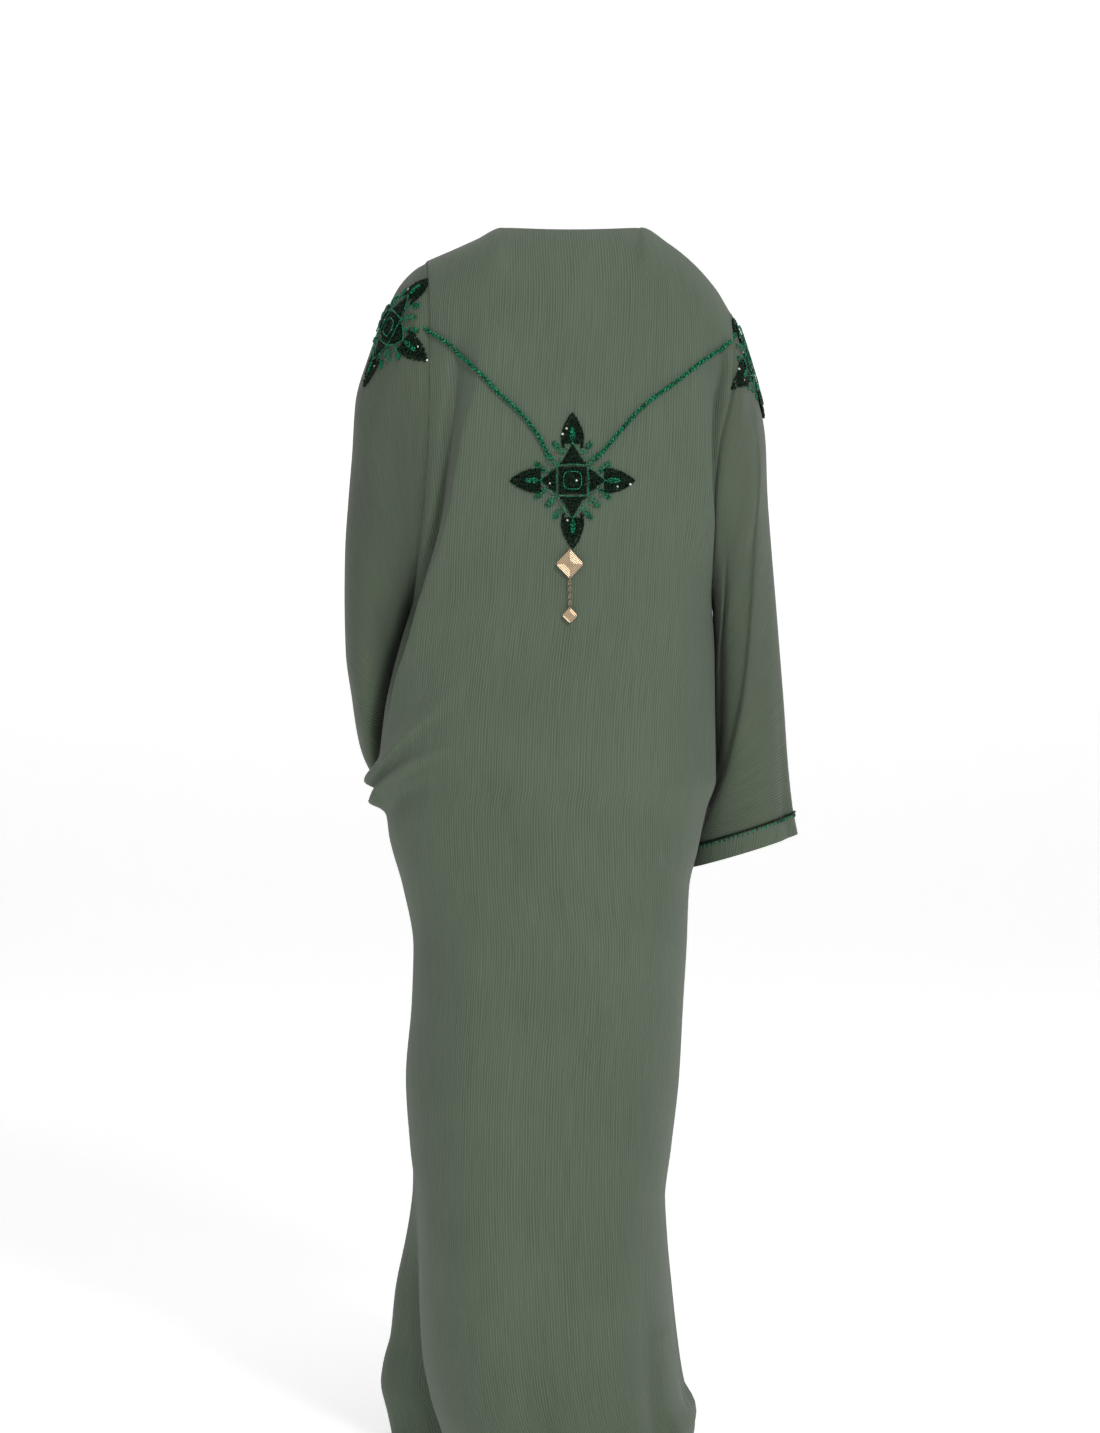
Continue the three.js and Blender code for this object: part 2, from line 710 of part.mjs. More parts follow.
// Body grids
const rowsBelow = SKIRT_ROWS.map((z) => (z - HEM_Z) / (UNDERARM_Z - HEM_Z));
const rowsAbove = Array.from({ length: ARMHOLE_STEPS }, (_, i) => 1 + (i + 1) / ARMHOLE_STEPS);
const bodyRows = [...rowsBelow, ...rowsAbove];
const underarmRow = rowsBelow.length - 1;
const topRow = bodyRows.length - 1;

// Columns from -1 to 1, closer together towards both edges.
const crowded = (share) => lerp(share, Math.sin((share * Math.PI) / 2), CROWDING);
const backColumns = Array.from({ length: BACK_COLUMNS }, (_, i) => crowded((2 * i) / (BACK_COLUMNS - 1) - 1));

// The columns of a front, from its side seam to its edge past the centre.
function frontPoint(side, share, v) {
  const edge = columnAt(-side * LAP.width, v, "front");
  const point = bodyPoint(lerp(side, edge, share), v, "front");
  if (side > 0) point.y += LAP.lift * (1 - smooth(LAP.width, LAP.width + LAP.ease, point.x));
  return point;
}

const frontShares = Array.from({ length: FRONT_COLUMNS }, (_, i) => i / (FRONT_COLUMNS - 1));
const back = grid(backColumns, bodyRows, (u, v) => bodyPoint(u, v, "back"));
// A left front's columns run from its centre edge to its seam, so that both fronts face out.
const frontLeft = grid([...frontShares].reverse(), bodyRows, (share, v) => frontPoint(-1, share, v));
const frontRight = grid(frontShares, bodyRows, (share, v) => frontPoint(1, share, v));
const lastFront = FRONT_COLUMNS - 1;
const lastBack = BACK_COLUMNS - 1;

// The loop of an armhole: shoulder tip, down the back edge to the underarm, and up the front edge.
function armholeLoop(backColumn, frontGrid, frontColumn) {
  const loop = [];
  for (let k = 0; k <= ARMHOLE_STEPS; k++) loop.push(back[topRow - k][backColumn].clone());
  for (let k = 1; k < ARMHOLE_STEPS; k++) loop.push(frontGrid[underarmRow + k][frontColumn].clone());
  return loop;
}

// A sleeve as a surface of two numbers: share runs from the armhole (0) to the cuff seam (1) and on to
// the cuff's edge (2), and turn is the angle round from the outer edge, with the back at 90 degrees
// and the underarm at 180.
class Sleeve {
  constructor(sections, cuffEnd, folds, armhole) {
    this.sections = sections.map((row, i) => ({ ...row, share: i / (sections.length - 1) }));
    this.sections.push({ ...cuffEnd, share: 2 });
    this.folds = folds;
    this.armhole = armhole;
    this.tip = armhole[0];
    this.underarm = armhole[ARMHOLE_STEPS];
    this.top = new THREE.Vector3().addVectors(this.tip, this.underarm).multiplyScalar(0.5);
    this.topArm = new THREE.Vector3().subVectors(this.tip, this.top);
  }

  // The armhole's own outline at a turn, as its share of the arm's length and the rest of its offset.
  armholeAt(turn) {
    const count = this.armhole.length;
    const place = (((turn / (2 * Math.PI)) * count) % count + count) % count;
    const k = Math.floor(place);
    const away = this.armhole[k].clone().lerp(this.armhole[(k + 1) % count], place - k).sub(this.top);
    const armShare = away.dot(this.topArm) / this.topArm.lengthSq();
    return { armShare, rest: away.addScaledVector(this.topArm, -armShare) };
  }

  // How far the folds lift the cloth at a place, for a ring of a given radius.
  lift(share, turn, radius) {
    let height = 0;
    for (const fold of this.folds) {
      const h = along(fold.path, "share", "h", share);
      const offset = turn - radians(along(fold.path, "share", "turn", share));
      height += h * bell(offset * radius, fold.outWidth, fold.inWidth);
    }
    return height * smooth(0, 0.06, share);
  }

  // A point of the sleeve. Past the armhole the surface is carried straight on.
  point(share, turn) {
    if (share < 0) return this.point(0, turn).multiplyScalar(2).sub(this.point(-share, turn));
    const read = (column) => along(this.sections, "share", column, share);
    const half = read("half");
    const own = read("own");
    const atArmhole = smooth(0.7, 1, own);
    const out = new THREE.Vector3(read("outX"), read("y"), read("outZ")).lerp(this.tip, atArmhole);
    const under = new THREE.Vector3(read("inX"), read("y"), read("inZ")).lerp(this.underarm, atArmhole);
    const centre = new THREE.Vector3().addVectors(out, under).multiplyScalar(0.5);
    const arm = new THREE.Vector3().subVectors(out, centre);
    const { armShare, rest } = this.armholeAt(turn);
    const point = centre.clone().addScaledVector(arm, lerp(Math.cos(turn), armShare, own));
    const depth = half * Math.sin(turn) * (1 - own);
    const tilt = radians(read("tilt"));
    point.add(new THREE.Vector3(0, -depth * Math.cos(tilt), -depth * Math.sin(tilt)));
    point.addScaledVector(rest, own);
    const outward = point.clone().sub(centre);
    outward.addScaledVector(arm, -FOLD_LEAN * (outward.dot(arm) / arm.lengthSq()));
    const height = this.lift(share, turn, (arm.length() + half) / 2);
    return point.addScaledVector(outward.normalize(), height);
  }

  ring(share) {
    const count = this.armhole.length;
    return Array.from({ length: count }, (_, k) => this.point(share, (2 * Math.PI * k) / count));
  }

  // The rings of the sleeve and of its cuff band. A left sleeve is read the other way round, so that
  // it faces out.
  rings(from, to, steps, left) {
    const rings = Array.from({ length: steps + 1 }, (_, i) => this.ring(lerp(from, to, i / steps)));
    return left ? rings.map((ring) => [ring[0], ...ring.slice(1).reverse()]) : rings;
  }
}

const leftSleeve = new Sleeve(
  LEFT_SLEEVE,
  LEFT_CUFF_END,
  LEFT_SLEEVE_FOLDS,
  armholeLoop(0, frontLeft, lastFront),
);
const rightSleeve = new Sleeve(
  RIGHT_SLEEVE,
  RIGHT_CUFF_END,
  RIGHT_SLEEVE_FOLDS,
  armholeLoop(lastBack, frontRight, 0),
);
const leftTube = leftSleeve.rings(0, 1, SLEEVE_STEPS, true);
const rightTube = rightSleeve.rings(0, 1, SLEEVE_STEPS, false);
const leftCuff = leftSleeve.rings(1, 2, CUFF_STEPS, true);
const rightCuff = rightSleeve.rings(1, 2, CUFF_STEPS, false);

const normals = {
  back: normalsOf(back, false),
  frontLeft: normalsOf(frontLeft, false),
  frontRight: normalsOf(frontRight, false),
  leftTube: normalsOf(leftTube, true),
  rightTube: normalsOf(rightTube, true),
  leftCuff: normalsOf(leftCuff, true),
  rightCuff: normalsOf(rightCuff, true),
};

// Seams: pieces that meet share a normal there, so that their walls end face to face.
function sewSide(backColumn, front, frontColumn, tube, left) {
  const count = 2 * ARMHOLE_STEPS;
  const armholeColumn = (k) => (left ? (count - k) % count : k);
  const onBack = (row) => ({ normals: normals.back, row, column: backColumn });
  const onFront = (row) => ({ normals: front, row, column: frontColumn });
  const onSleeve = (k) => ({ normals: tube, row: 0, column: armholeColumn(k) });
  for (let row = 0; row < underarmRow; row++) joinNormals(onBack(row), onFront(row));
  joinNormals(onBack(underarmRow), onFront(underarmRow), onSleeve(ARMHOLE_STEPS));
  for (let k = 1; k < ARMHOLE_STEPS; k++) {
    joinNormals(onBack(topRow - k), onSleeve(k));
    joinNormals(onFront(underarmRow + k), onSleeve(ARMHOLE_STEPS + k));
  }
  joinNormals(onBack(topRow), onFront(topRow), onSleeve(0));
}

function sewCuff(tube, cuff) {
  const last = tube.length - 1;
  tube[last].forEach((_, column) => {
    joinNormals({ normals: tube, row: last, column }, { normals: cuff, row: 0, column });
  });
}

// The shoulder seam runs straight across, so the cloth stands square to it there.
function squareShoulder(points, grid) {
  points[topRow].forEach((point, column) => {
    if (Math.abs(point.x) < NECK_HALF_WIDTH) return;
    grid[topRow][column].y = 0;
    grid[topRow][column].normalize();
  });
}

squareShoulder(back, normals.back);
squareShoulder(frontLeft, normals.frontLeft);
squareShoulder(frontRight, normals.frontRight);
sewSide(0, normals.frontLeft, lastFront, normals.leftTube, true);
sewSide(lastBack, normals.frontRight, 0, normals.rightTube, false);
sewCuff(normals.leftTube, normals.leftCuff);
sewCuff(normals.rightTube, normals.rightCuff);

// The seam gaps.
const columnOf = (points, column) => points.map((row) => row[column]);

function drawBackRow(points, grid, row, nextRow, closed) {
  drawBack(points[row], points[nextRow], grid[row], closed);
}

function drawBackColumn(points, grid, column, nextColumn) {
  drawBack(columnOf(points, column), columnOf(points, nextColumn), columnOf(grid, column), false);
}

drawBackRow(back, normals.back, topRow, topRow - 1, false);
drawBackRow(frontLeft, normals.frontLeft, topRow, topRow - 1, false);
drawBackRow(frontRight, normals.frontRight, topRow, topRow - 1, false);
drawBackColumn(back, normals.back, 0, 1);
drawBackColumn(back, normals.back, lastBack, lastBack - 1);
drawBackColumn(frontLeft, normals.frontLeft, lastFront, lastFront - 1);
drawBackColumn(frontRight, normals.frontRight, 0, 1);
drawBackRow(leftTube, normals.leftTube, 0, 1, true);
drawBackRow(rightTube, normals.rightTube, 0, 1, true);
for (const step of [-1, 0, 1]) {
  const ease = UNDERARM_EASE.most * UNDERARM_EASE.next ** Math.abs(step);
  leftTube[0][ARMHOLE_STEPS + step].x -= ease;
  rightTube[0][ARMHOLE_STEPS + step].x += ease;
}
drawBackRow(leftTube, normals.leftTube, SLEEVE_STEPS, SLEEVE_STEPS - 1, true);
drawBackRow(rightTube, normals.rightTube, SLEEVE_STEPS, SLEEVE_STEPS - 1, true);
drawBackRow(leftCuff, normals.leftCuff, 0, 1, true);
drawBackRow(rightCuff, normals.rightCuff, 0, 1, true);

// Surfaces that trimmings lie on: a smooth one to go over, and the panel's own points to rest on.
const sleeveRow = (share) => share * SLEEVE_STEPS;
const sleeveColumn = (turn) => (turn / Math.PI) * ARMHOLE_STEPS;
const SURFACES = {
  back: {
    at: (a, b) => bodyPoint(a, b, "back"),
    out: 1,
    seam: -1,
    cell: (a, b) => [placeIn(bodyRows, b), placeIn(backColumns, a)],
    points: back,
    normals: normals.back,
    closed: false,
  },
  left: {
    at: (a, b) => leftSleeve.point(a, b),
    out: 1,
    seam: 0.015,
    cell: (a, b) => [sleeveRow(a), -sleeveColumn(b)],
    points: leftTube,
    normals: normals.leftTube,
    closed: true,
  },
  right: {
    at: (a, b) => rightSleeve.point(a, b),
    out: -1,
    seam: 0.015,
    cell: (a, b) => [sleeveRow(a), sleeveColumn(b)],
    points: rightTube,
    normals: normals.rightTube,
    closed: true,
  },
};

// Where a value falls in a rising list, as an index with its share of the way to the next.
function placeIn(list, value) {
  const i = clamp(list.findIndex((entry) => entry > value) - 1, 0, list.length - 2);
  return i + (value - list[i]) / (list[i + 1] - list[i]);
}

// A grid of vectors between its rows and columns, on the two flat faces of a cell. Past the last
// column it starts again.
function between(vectors, row, column) {
  const j = clamp(Math.floor(row), 0, vectors.length - 2);
  const i = Math.floor(column);
  const count = vectors[0].length;
  const corner = (down, over) => vectors[j + down][(((i + over) % count) + count) % count].clone();
  const r = row - j;
  const c = column - i;
  const turning = c >= r ? corner(0, 1) : corner(1, 0);
  return corner(0, 0)
    .multiplyScalar(1 - Math.max(r, c))
    .addScaledVector(turning, Math.abs(c - r))
    .addScaledVector(corner(1, 1), Math.min(r, c));
}
const NUDGE = 2e-3;
const WALK_STEP = 6;

// The two directions of a surface at a place, and its normal.
function tangents(surface, place) {
  const { at, out } = surface;
  const da = at(place.a + NUDGE, place.b).sub(at(place.a - NUDGE, place.b)).multiplyScalar(0.5 / NUDGE);
  const db = at(place.a, place.b + NUDGE).sub(at(place.a, place.b - NUDGE)).multiplyScalar(0.5 / NUDGE);
  const normal = new THREE.Vector3().crossVectors(da, db).multiplyScalar(out).normalize();
  return { da, db, normal };
}

// Moves a place by a small step in space, as far as the surface allows.
function moved(surface, place, step, { da, db }) {
  const aa = da.dot(da);
  const ab = da.dot(db);
  const bb = db.dot(db);
  const p = step.dot(da);
  const q = step.dot(db);
  const area = aa * bb - ab * ab;
  return { a: place.a + (bb * p - ab * q) / area, b: place.b + (aa * q - ab * p) / area };
}

// The place on a surface that shows at x and z from behind, found from a first guess.
function placeAt(surface, x, z, guess) {
  let place = guess;
  for (let i = 0; i < 14; i++) {
    const point = surface.at(place.a, place.b);
    const frame = tangents(surface, place);
    const away = new THREE.Vector3(x - point.x, 0, z - point.z);
    away.y = -(frame.normal.x * away.x + frame.normal.z * away.z) / frame.normal.y;
    place = moved(surface, place, away.clampLength(0, 40), frame);
  }
  return place;
}

// Goes straight ahead over a surface, keeping to it, and gives the places at the distances asked for.
function walk(surface, start, heading, distances) {
  let place = start;
  let gone = 0;
  const ahead = heading.clone();
  return distances.map((distance) => {
    const steps = Math.ceil((distance - gone) / WALK_STEP);
    for (let i = 0; i < steps; i++) {
      const frame = tangents(surface, place);
      ahead.addScaledVector(frame.normal, -ahead.dot(frame.normal)).normalize();
      place = moved(surface, place, ahead.clone().multiplyScalar((distance - gone) / steps), frame);
    }
    gone = distance;
    return place;
  });
}

// How far one can go straight ahead before the armhole seam, up to a distance.
function roomAhead(surface, start, heading, most) {
  let room = most;
  while (walk(surface, start, heading, [room])[0].a < surface.seam) room -= 1;
  return room;
}

// A point that stands off a panel by a height.
function lifted(surface, place, height) {
  const [row, column] = surface.cell(place.a, place.b);
  const normal = between(surface.normals, row, column).normalize();
  return between(surface.points, row, column).addScaledVector(normal, height);
}

// A closed geometry as a solid that can be cut.
function solidOf(geometry) {
  const bare = geometry.clone();
  bare.deleteAttribute("normal");
  bare.deleteAttribute("uv");
  const merged = mergeVertices(bare, WELD);
  return new wasm.Manifold(
    new wasm.Mesh({
      numProp: 3,
      vertProperties: merged.attributes.position.array,
      triVerts: new Uint32Array(merged.index.array),
    }),
  );
}

// Cuts a trimming along the cloth that it lies on, so that it follows the cloth a small gap away.
function clearOf(surface, geometry) {
  const cloth = wall(surface.points, surface.normals, CLOTH + 2 * ON_CLOTH_GAP, surface.closed);
  const pieces = solidOf(geometry).subtract(solidOf(cloth)).decompose();
  const kept = pieces.reduce((largest, piece) => (piece.volume() > largest.volume() ? piece : largest));
  const cut = kept.getMesh();
  return shape(cut.vertProperties, cut.triVerts);
}

// How far the star reaches at a turn, in degrees.
function starReach(turn) {
  const inQuarter = ((turn % 90) + 90) % 90;
  const fromPetal = Math.min(inQuarter, 90 - inQuarter);
  let reach = STAR.core + (STAR.petal - STAR.core) * Math.exp(-((fromPetal / STAR.petalTurn) ** 4));
  for (const sprigTurn of STAR.sprigTurns) {
    const spike = Math.exp(-(((inQuarter - sprigTurn) / STAR.sprigTurn) ** 2));
    reach = Math.max(reach, lerp(STAR.core * STAR.sprigRoot, STAR.sprig, spike));
  }
  return reach;
}

// A star that lies on a surface: a pad, thickest in the middle, between two sheets of points.
function starPad(surface, centre, turned) {
  const frame = tangents(surface, centre);
  const up = new THREE.Vector3(0, 0, 1);
  up.addScaledVector(frame.normal, -up.dot(frame.normal)).normalize();
  const side = new THREE.Vector3().crossVectors(up, frame.normal);
  const shares = Array.from({ length: STAR.rings }, (_, i) => (i + 1) / STAR.rings);
  const spokes = Array.from({ length: STAR.turns }, (_, k) => {
    const turn = (360 * k) / STAR.turns;
    const angle = radians(turn + turned);
    const heading = side.clone().multiplyScalar(Math.sin(angle)).addScaledVector(up, Math.cos(angle));
    const reach = roomAhead(surface, centre, heading, starReach(turn));
    return walk(surface, centre, heading, shares.map((share) => share * reach));
  });
  const foot = CLOTH / 2 + ON_CLOTH_GAP;
  const positions = [];
  const push = (place, height) => positions.push(...lifted(surface, place, height).toArray());
  push(centre, foot + STAR.middle);
  push(centre, 0);
  spokes.forEach((spoke) => {
    spoke.forEach((place, i) => {
      push(place, foot + lerp(STAR.middle, STAR.edge, shares[i] ** 2));
      push(place, 0);
    });
  });
  const at = (k, ring, low) => 2 + 2 * ((k % STAR.turns) * STAR.rings + ring) + low;
  const indices = [];
  for (let k = 0; k < STAR.turns; k++) {
    indices.push(0, at(k + 1, 0, 0), at(k, 0, 0), 1, at(k, 0, 1), at(k + 1, 0, 1));
    for (let ring = 0; ring < STAR.rings - 1; ring++) {
      for (const low of [0, 1]) {
        const near = [at(k, ring, low), at(k + 1, ring, low)];
        const corners = [...near, at(k + 1, ring + 1, low), at(k, ring + 1, low)];
        if (low) corners.reverse();
        indices.push(corners[0], corners[1], corners[2], corners[0], corners[2], corners[3]);
      }
    }
    const rim = STAR.rings - 1;
    indices.push(at(k, rim, 0), at(k + 1, rim, 0), at(k + 1, rim, 1), at(k, rim, 0), at(k + 1, rim, 1));
    indices.push(at(k, rim, 1));
  }
  return clearOf(surface, shape(positions, indices));
}

// A cord of beads on the back, along a smooth curve through its points.
function ropeOn(surface, path) {
  const flat = new THREE.CatmullRomCurve3(path.map(({ x, z }) => new THREE.Vector3(x, 0, z)));
  const stand = CLOTH / 2 + ON_CLOTH_GAP + ROPE.radius;
  const points = flat.getSpacedPoints(ROPE.steps).map(({ x, z }) => {
    const guess = { a: columnAt(x, 1.3, "back"), b: 1.4 };
    return lifted(surface, placeAt(surface, x, z, guess), stand);
  });
  const round = new THREE.Shape().absarc(0, 0, ROPE.radius, 0, 2 * Math.PI);
  const cord = new THREE.ExtrudeGeometry(round, {
    steps: ROPE.steps,
    curveSegments: ROPE.sides,
    extrudePath: new THREE.CatmullRomCurve3(points),
  });
  return clearOf(surface, cord);
}

// A closed tube about a ring of points, each with its own outward direction.
function closedTube(centres, outs, radius, sides) {
  const count = centres.length;
  const positions = [];
  centres.forEach((centre, i) => {
    const ahead = new THREE.Vector3().subVectors(centres[(i + 1) % count], centres[(i + count - 1) % count]);
    const across = new THREE.Vector3().crossVectors(ahead.normalize(), outs[i]).normalize();
    for (let k = 0; k < sides; k++) {
      const angle = (2 * Math.PI * k) / sides;
      const point = centre.clone().addScaledVector(outs[i], radius * Math.cos(angle));
      positions.push(...point.addScaledVector(across, radius * Math.sin(angle)).toArray());
    }
  });
  const at = (i, k) => (i % count) * sides + (k % sides);
  const indices = [];
  for (let i = 0; i < count; i++) {
    for (let k = 0; k < sides; k++) {
      indices.push(at(i, k), at(i, k + 1), at(i + 1, k + 1), at(i, k), at(i + 1, k + 1), at(i + 1, k));
    }
  }
  return shape(positions, indices);
}

// The beads over a cuff seam, a ring just outside the sleeve's last ring.
function beadLine(tube, tubeNormals) {
  const outs = tubeNormals[SLEEVE_STEPS];
  const stand = CUFF_CLOTH / 2 + ON_CLOTH_GAP + BEAD_LINE.radius;
  const centres = tube[SLEEVE_STEPS].map((point, i) => point.clone().addScaledVector(outs[i], stand));
  return closedTube(centres, outs, BEAD_LINE.radius, BEAD_LINE.sides);
}

// A ring or link of wire. It hangs from the origin, where the wire that holds it passes, and lies square to
// the cloth when it is edge on.
function link({ turn, straight }, edgeOn) {
  const centres = [];
  const outs = [];
  for (const end of [0, 1]) {
    for (let i = 0; i <= WIRE.bend; i++) {
      const angle = Math.PI * (end + i / WIRE.bend);
      const out = new THREE.Vector3(Math.cos(angle), 0, Math.sin(angle));
      const centre = out.clone().multiplyScalar(turn);
      centre.z -= end * straight;
      const isDouble = straight === 0 && i === WIRE.bend;
      if (isDouble) continue;
      centres.push(centre);
      outs.push(out);
    }
  }
  const geometry = closedTube(centres, outs, WIRE.radius, WIRE.sides);
  return edgeOn ? geometry.rotateZ(Math.PI / 2) : geometry;
}

const linkPitch = ({ turn, straight }) => turn + straight;

// A square plate on its corner, with rounded corners and an eye in a tab at the top and, if asked, the
// bottom.
function plate(size, bottomEye) {
  const outline = new THREE.Shape();
  const corners = [Math.PI / 2, 0, -Math.PI / 2, -Math.PI];
  for (const middle of corners) {
    const hasTab = middle === Math.PI / 2 || (bottomEye && middle === -Math.PI / 2);
    const away = hasTab ? size.eyeAt : size.half - size.corner;
    const radius = hasTab ? size.eye : size.corner;
    const spread = radians(hasTab ? CORNER_SPAN.tab : CORNER_SPAN.plain);
    const x = away * Math.cos(middle);
    const z = away * Math.sin(middle);
    outline.absarc(x, z, radius, middle + spread, middle - spread, true);
  }
  for (const z of bottomEye ? [size.eyeAt, -size.eyeAt] : [size.eyeAt]) {
    outline.holes.push(new THREE.Path().absarc(0, z, size.hole, 0, 2 * Math.PI));
  }
  const geometry = new THREE.ExtrudeGeometry(outline, {
    depth: size.thick,
    bevelEnabled: false,
    curveSegments: 5,
  });
  return geometry.translate(0, 0, -size.thick / 2).rotateX(Math.PI / 2).translate(0, 0, -size.eyeAt);
}

const abaya = new THREE.Group();

function add(name, geometry, material) {
  const mesh = new THREE.Mesh(geometry, material);
  mesh.name = name;
  abaya.add(mesh);
  return mesh;
}

add("back_panel", wall(back, normals.back, CLOTH, false), COLOURS.crepe);
add("front_left", wall(frontLeft, normals.frontLeft, CLOTH, false), COLOURS.crepe);
add("front_right", wall(frontRight, normals.frontRight, CLOTH, false), COLOURS.crepe);
add("sleeve_left", wall(leftTube, normals.leftTube, CLOTH, true), COLOURS.crepe);
add("sleeve_right", wall(rightTube, normals.rightTube, CLOTH, true), COLOURS.crepe);
add("cuff_left", wall(leftCuff, normals.leftCuff, CUFF_CLOTH, true), COLOURS.crepe);
add("cuff_right", wall(rightCuff, normals.rightCuff, CUFF_CLOTH, true), COLOURS.crepe);

const backStarPlace = placeAt(SURFACES.back, BACK_STAR.x, BACK_STAR.z, { a: 0, b: 1.3 });
const leftStarPlace = placeAt(SURFACES.left, LEFT_STAR.x, LEFT_STAR.z, { a: 0.2, b: 0.8 });
const rightStarPlace = placeAt(SURFACES.right, RIGHT_STAR.x, RIGHT_STAR.z, { a: 0.2, b: 0.6 });
add("star_back", starPad(SURFACES.back, backStarPlace, BACK_STAR.turned), COLOURS.beads);
add("star_left", starPad(SURFACES.left, leftStarPlace, LEFT_STAR.turned), COLOURS.beads);
add("star_right", starPad(SURFACES.right, rightStarPlace, RIGHT_STAR.turned), COLOURS.beads);
add("rope_left", ropeOn(SURFACES.back, LEFT_ROPE), COLOURS.cord);
add("rope_right", ropeOn(SURFACES.back, RIGHT_ROPE), COLOURS.cord);
add("cuff_beads_left", beadLine(leftTube, normals.leftTube), COLOURS.beads);
add("cuff_beads_right", beadLine(rightTube, normals.rightTube), COLOURS.beads);

// The pendant's pieces follow each other down from the loop, each hung on the one before.
const hangAt = placeAt(SURFACES.back, PENDANT.x, PENDANT.top, { a: 0, b: 1.2 });
const hangPoint = lifted(SURFACES.back, hangAt, PENDANT.offCloth);

function hang(name, geometry, drop) {
  add(name, geometry, COLOURS.gilt).position.copy(hangPoint);
  hangPoint.z -= drop;
}

hang("sewn_loop", link(LOOP, false).rotateX(Math.PI / 2).translate(0, LOOP.turn, 0), 0);
hang("jump_ring", link(RING, true), linkPitch(RING));
hang("plate", plate(PLATE, true), 2 * PLATE.eyeAt + RING.turn);
hang("lower_ring", link(RING, true), linkPitch(RING));
for (let i = 1; i <= LINK_COUNT; i++) {
  hang("link_" + i, link(LINK, i % 2 === 0), linkPitch(LINK));
}
hang("drop", plate(DROP, false), 0);

export default abaya;
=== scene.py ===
"""A long abaya in crinkled crepe with beaded stars, bead cords and a gilt pendant, in its worn form.

The cloth is worked out as surfaces of two numbers on numpy grids, in millimetres, and put into meshes in metres.
+Z is up, +X is the wearer's right, and the back of the garment faces -Y.
"""

import json
import logging
from dataclasses import dataclass, field
from enum import Enum
from typing import Callable

import bpy
import numpy as np
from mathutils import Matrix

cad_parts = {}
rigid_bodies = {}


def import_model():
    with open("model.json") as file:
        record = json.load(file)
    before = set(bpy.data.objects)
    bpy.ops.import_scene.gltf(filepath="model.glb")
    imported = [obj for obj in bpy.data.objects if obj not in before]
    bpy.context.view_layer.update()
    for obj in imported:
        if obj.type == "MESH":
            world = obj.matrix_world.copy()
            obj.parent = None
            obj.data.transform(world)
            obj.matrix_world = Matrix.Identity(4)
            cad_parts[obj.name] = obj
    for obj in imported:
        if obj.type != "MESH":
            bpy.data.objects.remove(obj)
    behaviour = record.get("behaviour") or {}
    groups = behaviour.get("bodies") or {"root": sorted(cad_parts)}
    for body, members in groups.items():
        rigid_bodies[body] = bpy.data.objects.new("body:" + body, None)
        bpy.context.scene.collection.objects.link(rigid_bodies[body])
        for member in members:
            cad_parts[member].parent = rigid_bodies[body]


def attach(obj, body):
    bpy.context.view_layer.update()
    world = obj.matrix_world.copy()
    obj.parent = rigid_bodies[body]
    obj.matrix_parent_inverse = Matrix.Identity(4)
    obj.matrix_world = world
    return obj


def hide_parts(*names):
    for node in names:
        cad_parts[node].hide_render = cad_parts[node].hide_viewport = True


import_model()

Array = np.ndarray
Path = tuple[tuple[float, ...], ...]
LOG = logging.getLogger("abaya")
MM = 0.001
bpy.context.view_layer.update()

# The bead cords, from the shoulder to the star, as x and z on the back.
LEFT_ROPE = (
    (-172, -108), (-162, -115), (-150, -123), (-125, -145), (-85, -188), (-60, -211), (-36, -243), (-27, -262)
)
RIGHT_ROPE = ((184, -124), (163, -139), (127, -168), (80, -204), (58, -228), (38, -252), (27, -264))


class Face(Enum):
    """The two sides of the body."""

    BACK = "back"
    FRONT = "front"


class Grain(Enum):
    """Which way the crinkles of the crepe run on a piece."""

    DOWN = "down"
    ACROSS = "across"


class Table:
    """Rows of numbers under named columns, read on a smooth curve that never runs past its rows."""

    def __init__(self, names: str, rows: Path) -> None:
        """Keep the rows in rising order of the first column.

        Args:
            names: The names of the columns, the key first.
            rows: The rows of numbers.
        """
        values = np.array(sorted(rows), dtype=float)
        self.keys = values[:, 0]
        self.columns = {name: values[:, i] for i, name in enumerate(names.split())}

    def read(self, column: str, at: Array | float) -> Array:
        """Read a column by cubic pieces whose slopes are the harmonic mean of their neighbours'.

        Args:
            column: The name of the column.
            at: Where to read it, in the key's units.

        Returns:
            The values, in the shape of ``at``.
        """
        x, y = self.keys, self.columns[column]
        at = np.clip(at, x[0], x[-1])
        slope = np.diff(y) / np.diff(x)
        tangent = np.concatenate([slope[:1], np.zeros(len(x) - 2), slope[-1:]])
        before, after = slope[:-1], slope[1:]
        rising = before * after > 0
        total = np.where(rising, before + after, 1.0)
        tangent[1:-1] = np.where(rising, 2 * before * after / total, 0.0)
        i = np.clip(np.searchsorted(x, at, side="right") - 1, 0, len(x) - 2)
        span = x[i + 1] - x[i]
        s = (at - x[i]) / span
        return (
            y[i] * (1 + 2 * s) * (1 - s) ** 2
            + tangent[i] * span * s * (1 - s) ** 2
            + y[i + 1] * s * s * (3 - 2 * s)
            + tangent[i + 1] * span * s * s * (s - 1)
        )


def smooth(low: float, high: float, value: Array | float) -> Array:
    """Rise smoothly from 0 at ``low`` to 1 at ``high``."""
    s = np.clip((np.asarray(value, dtype=float) - low) / (high - low), 0, 1)
    return s * s * (3 - 2 * s)


def lerp(start: Array | float, end: Array | float, share: Array | float) -> Array:
    """Go a share of the way from one value to another."""
    return start + (end - start) * share


def bell(distance: Array, below: float, above: float, power: float = 2) -> Array:
    """A bell of height 1 with its own width on each side, pointed where the power is below 2."""
    return np.exp(-(np.abs(distance / np.where(distance < 0, below, above)) ** power))


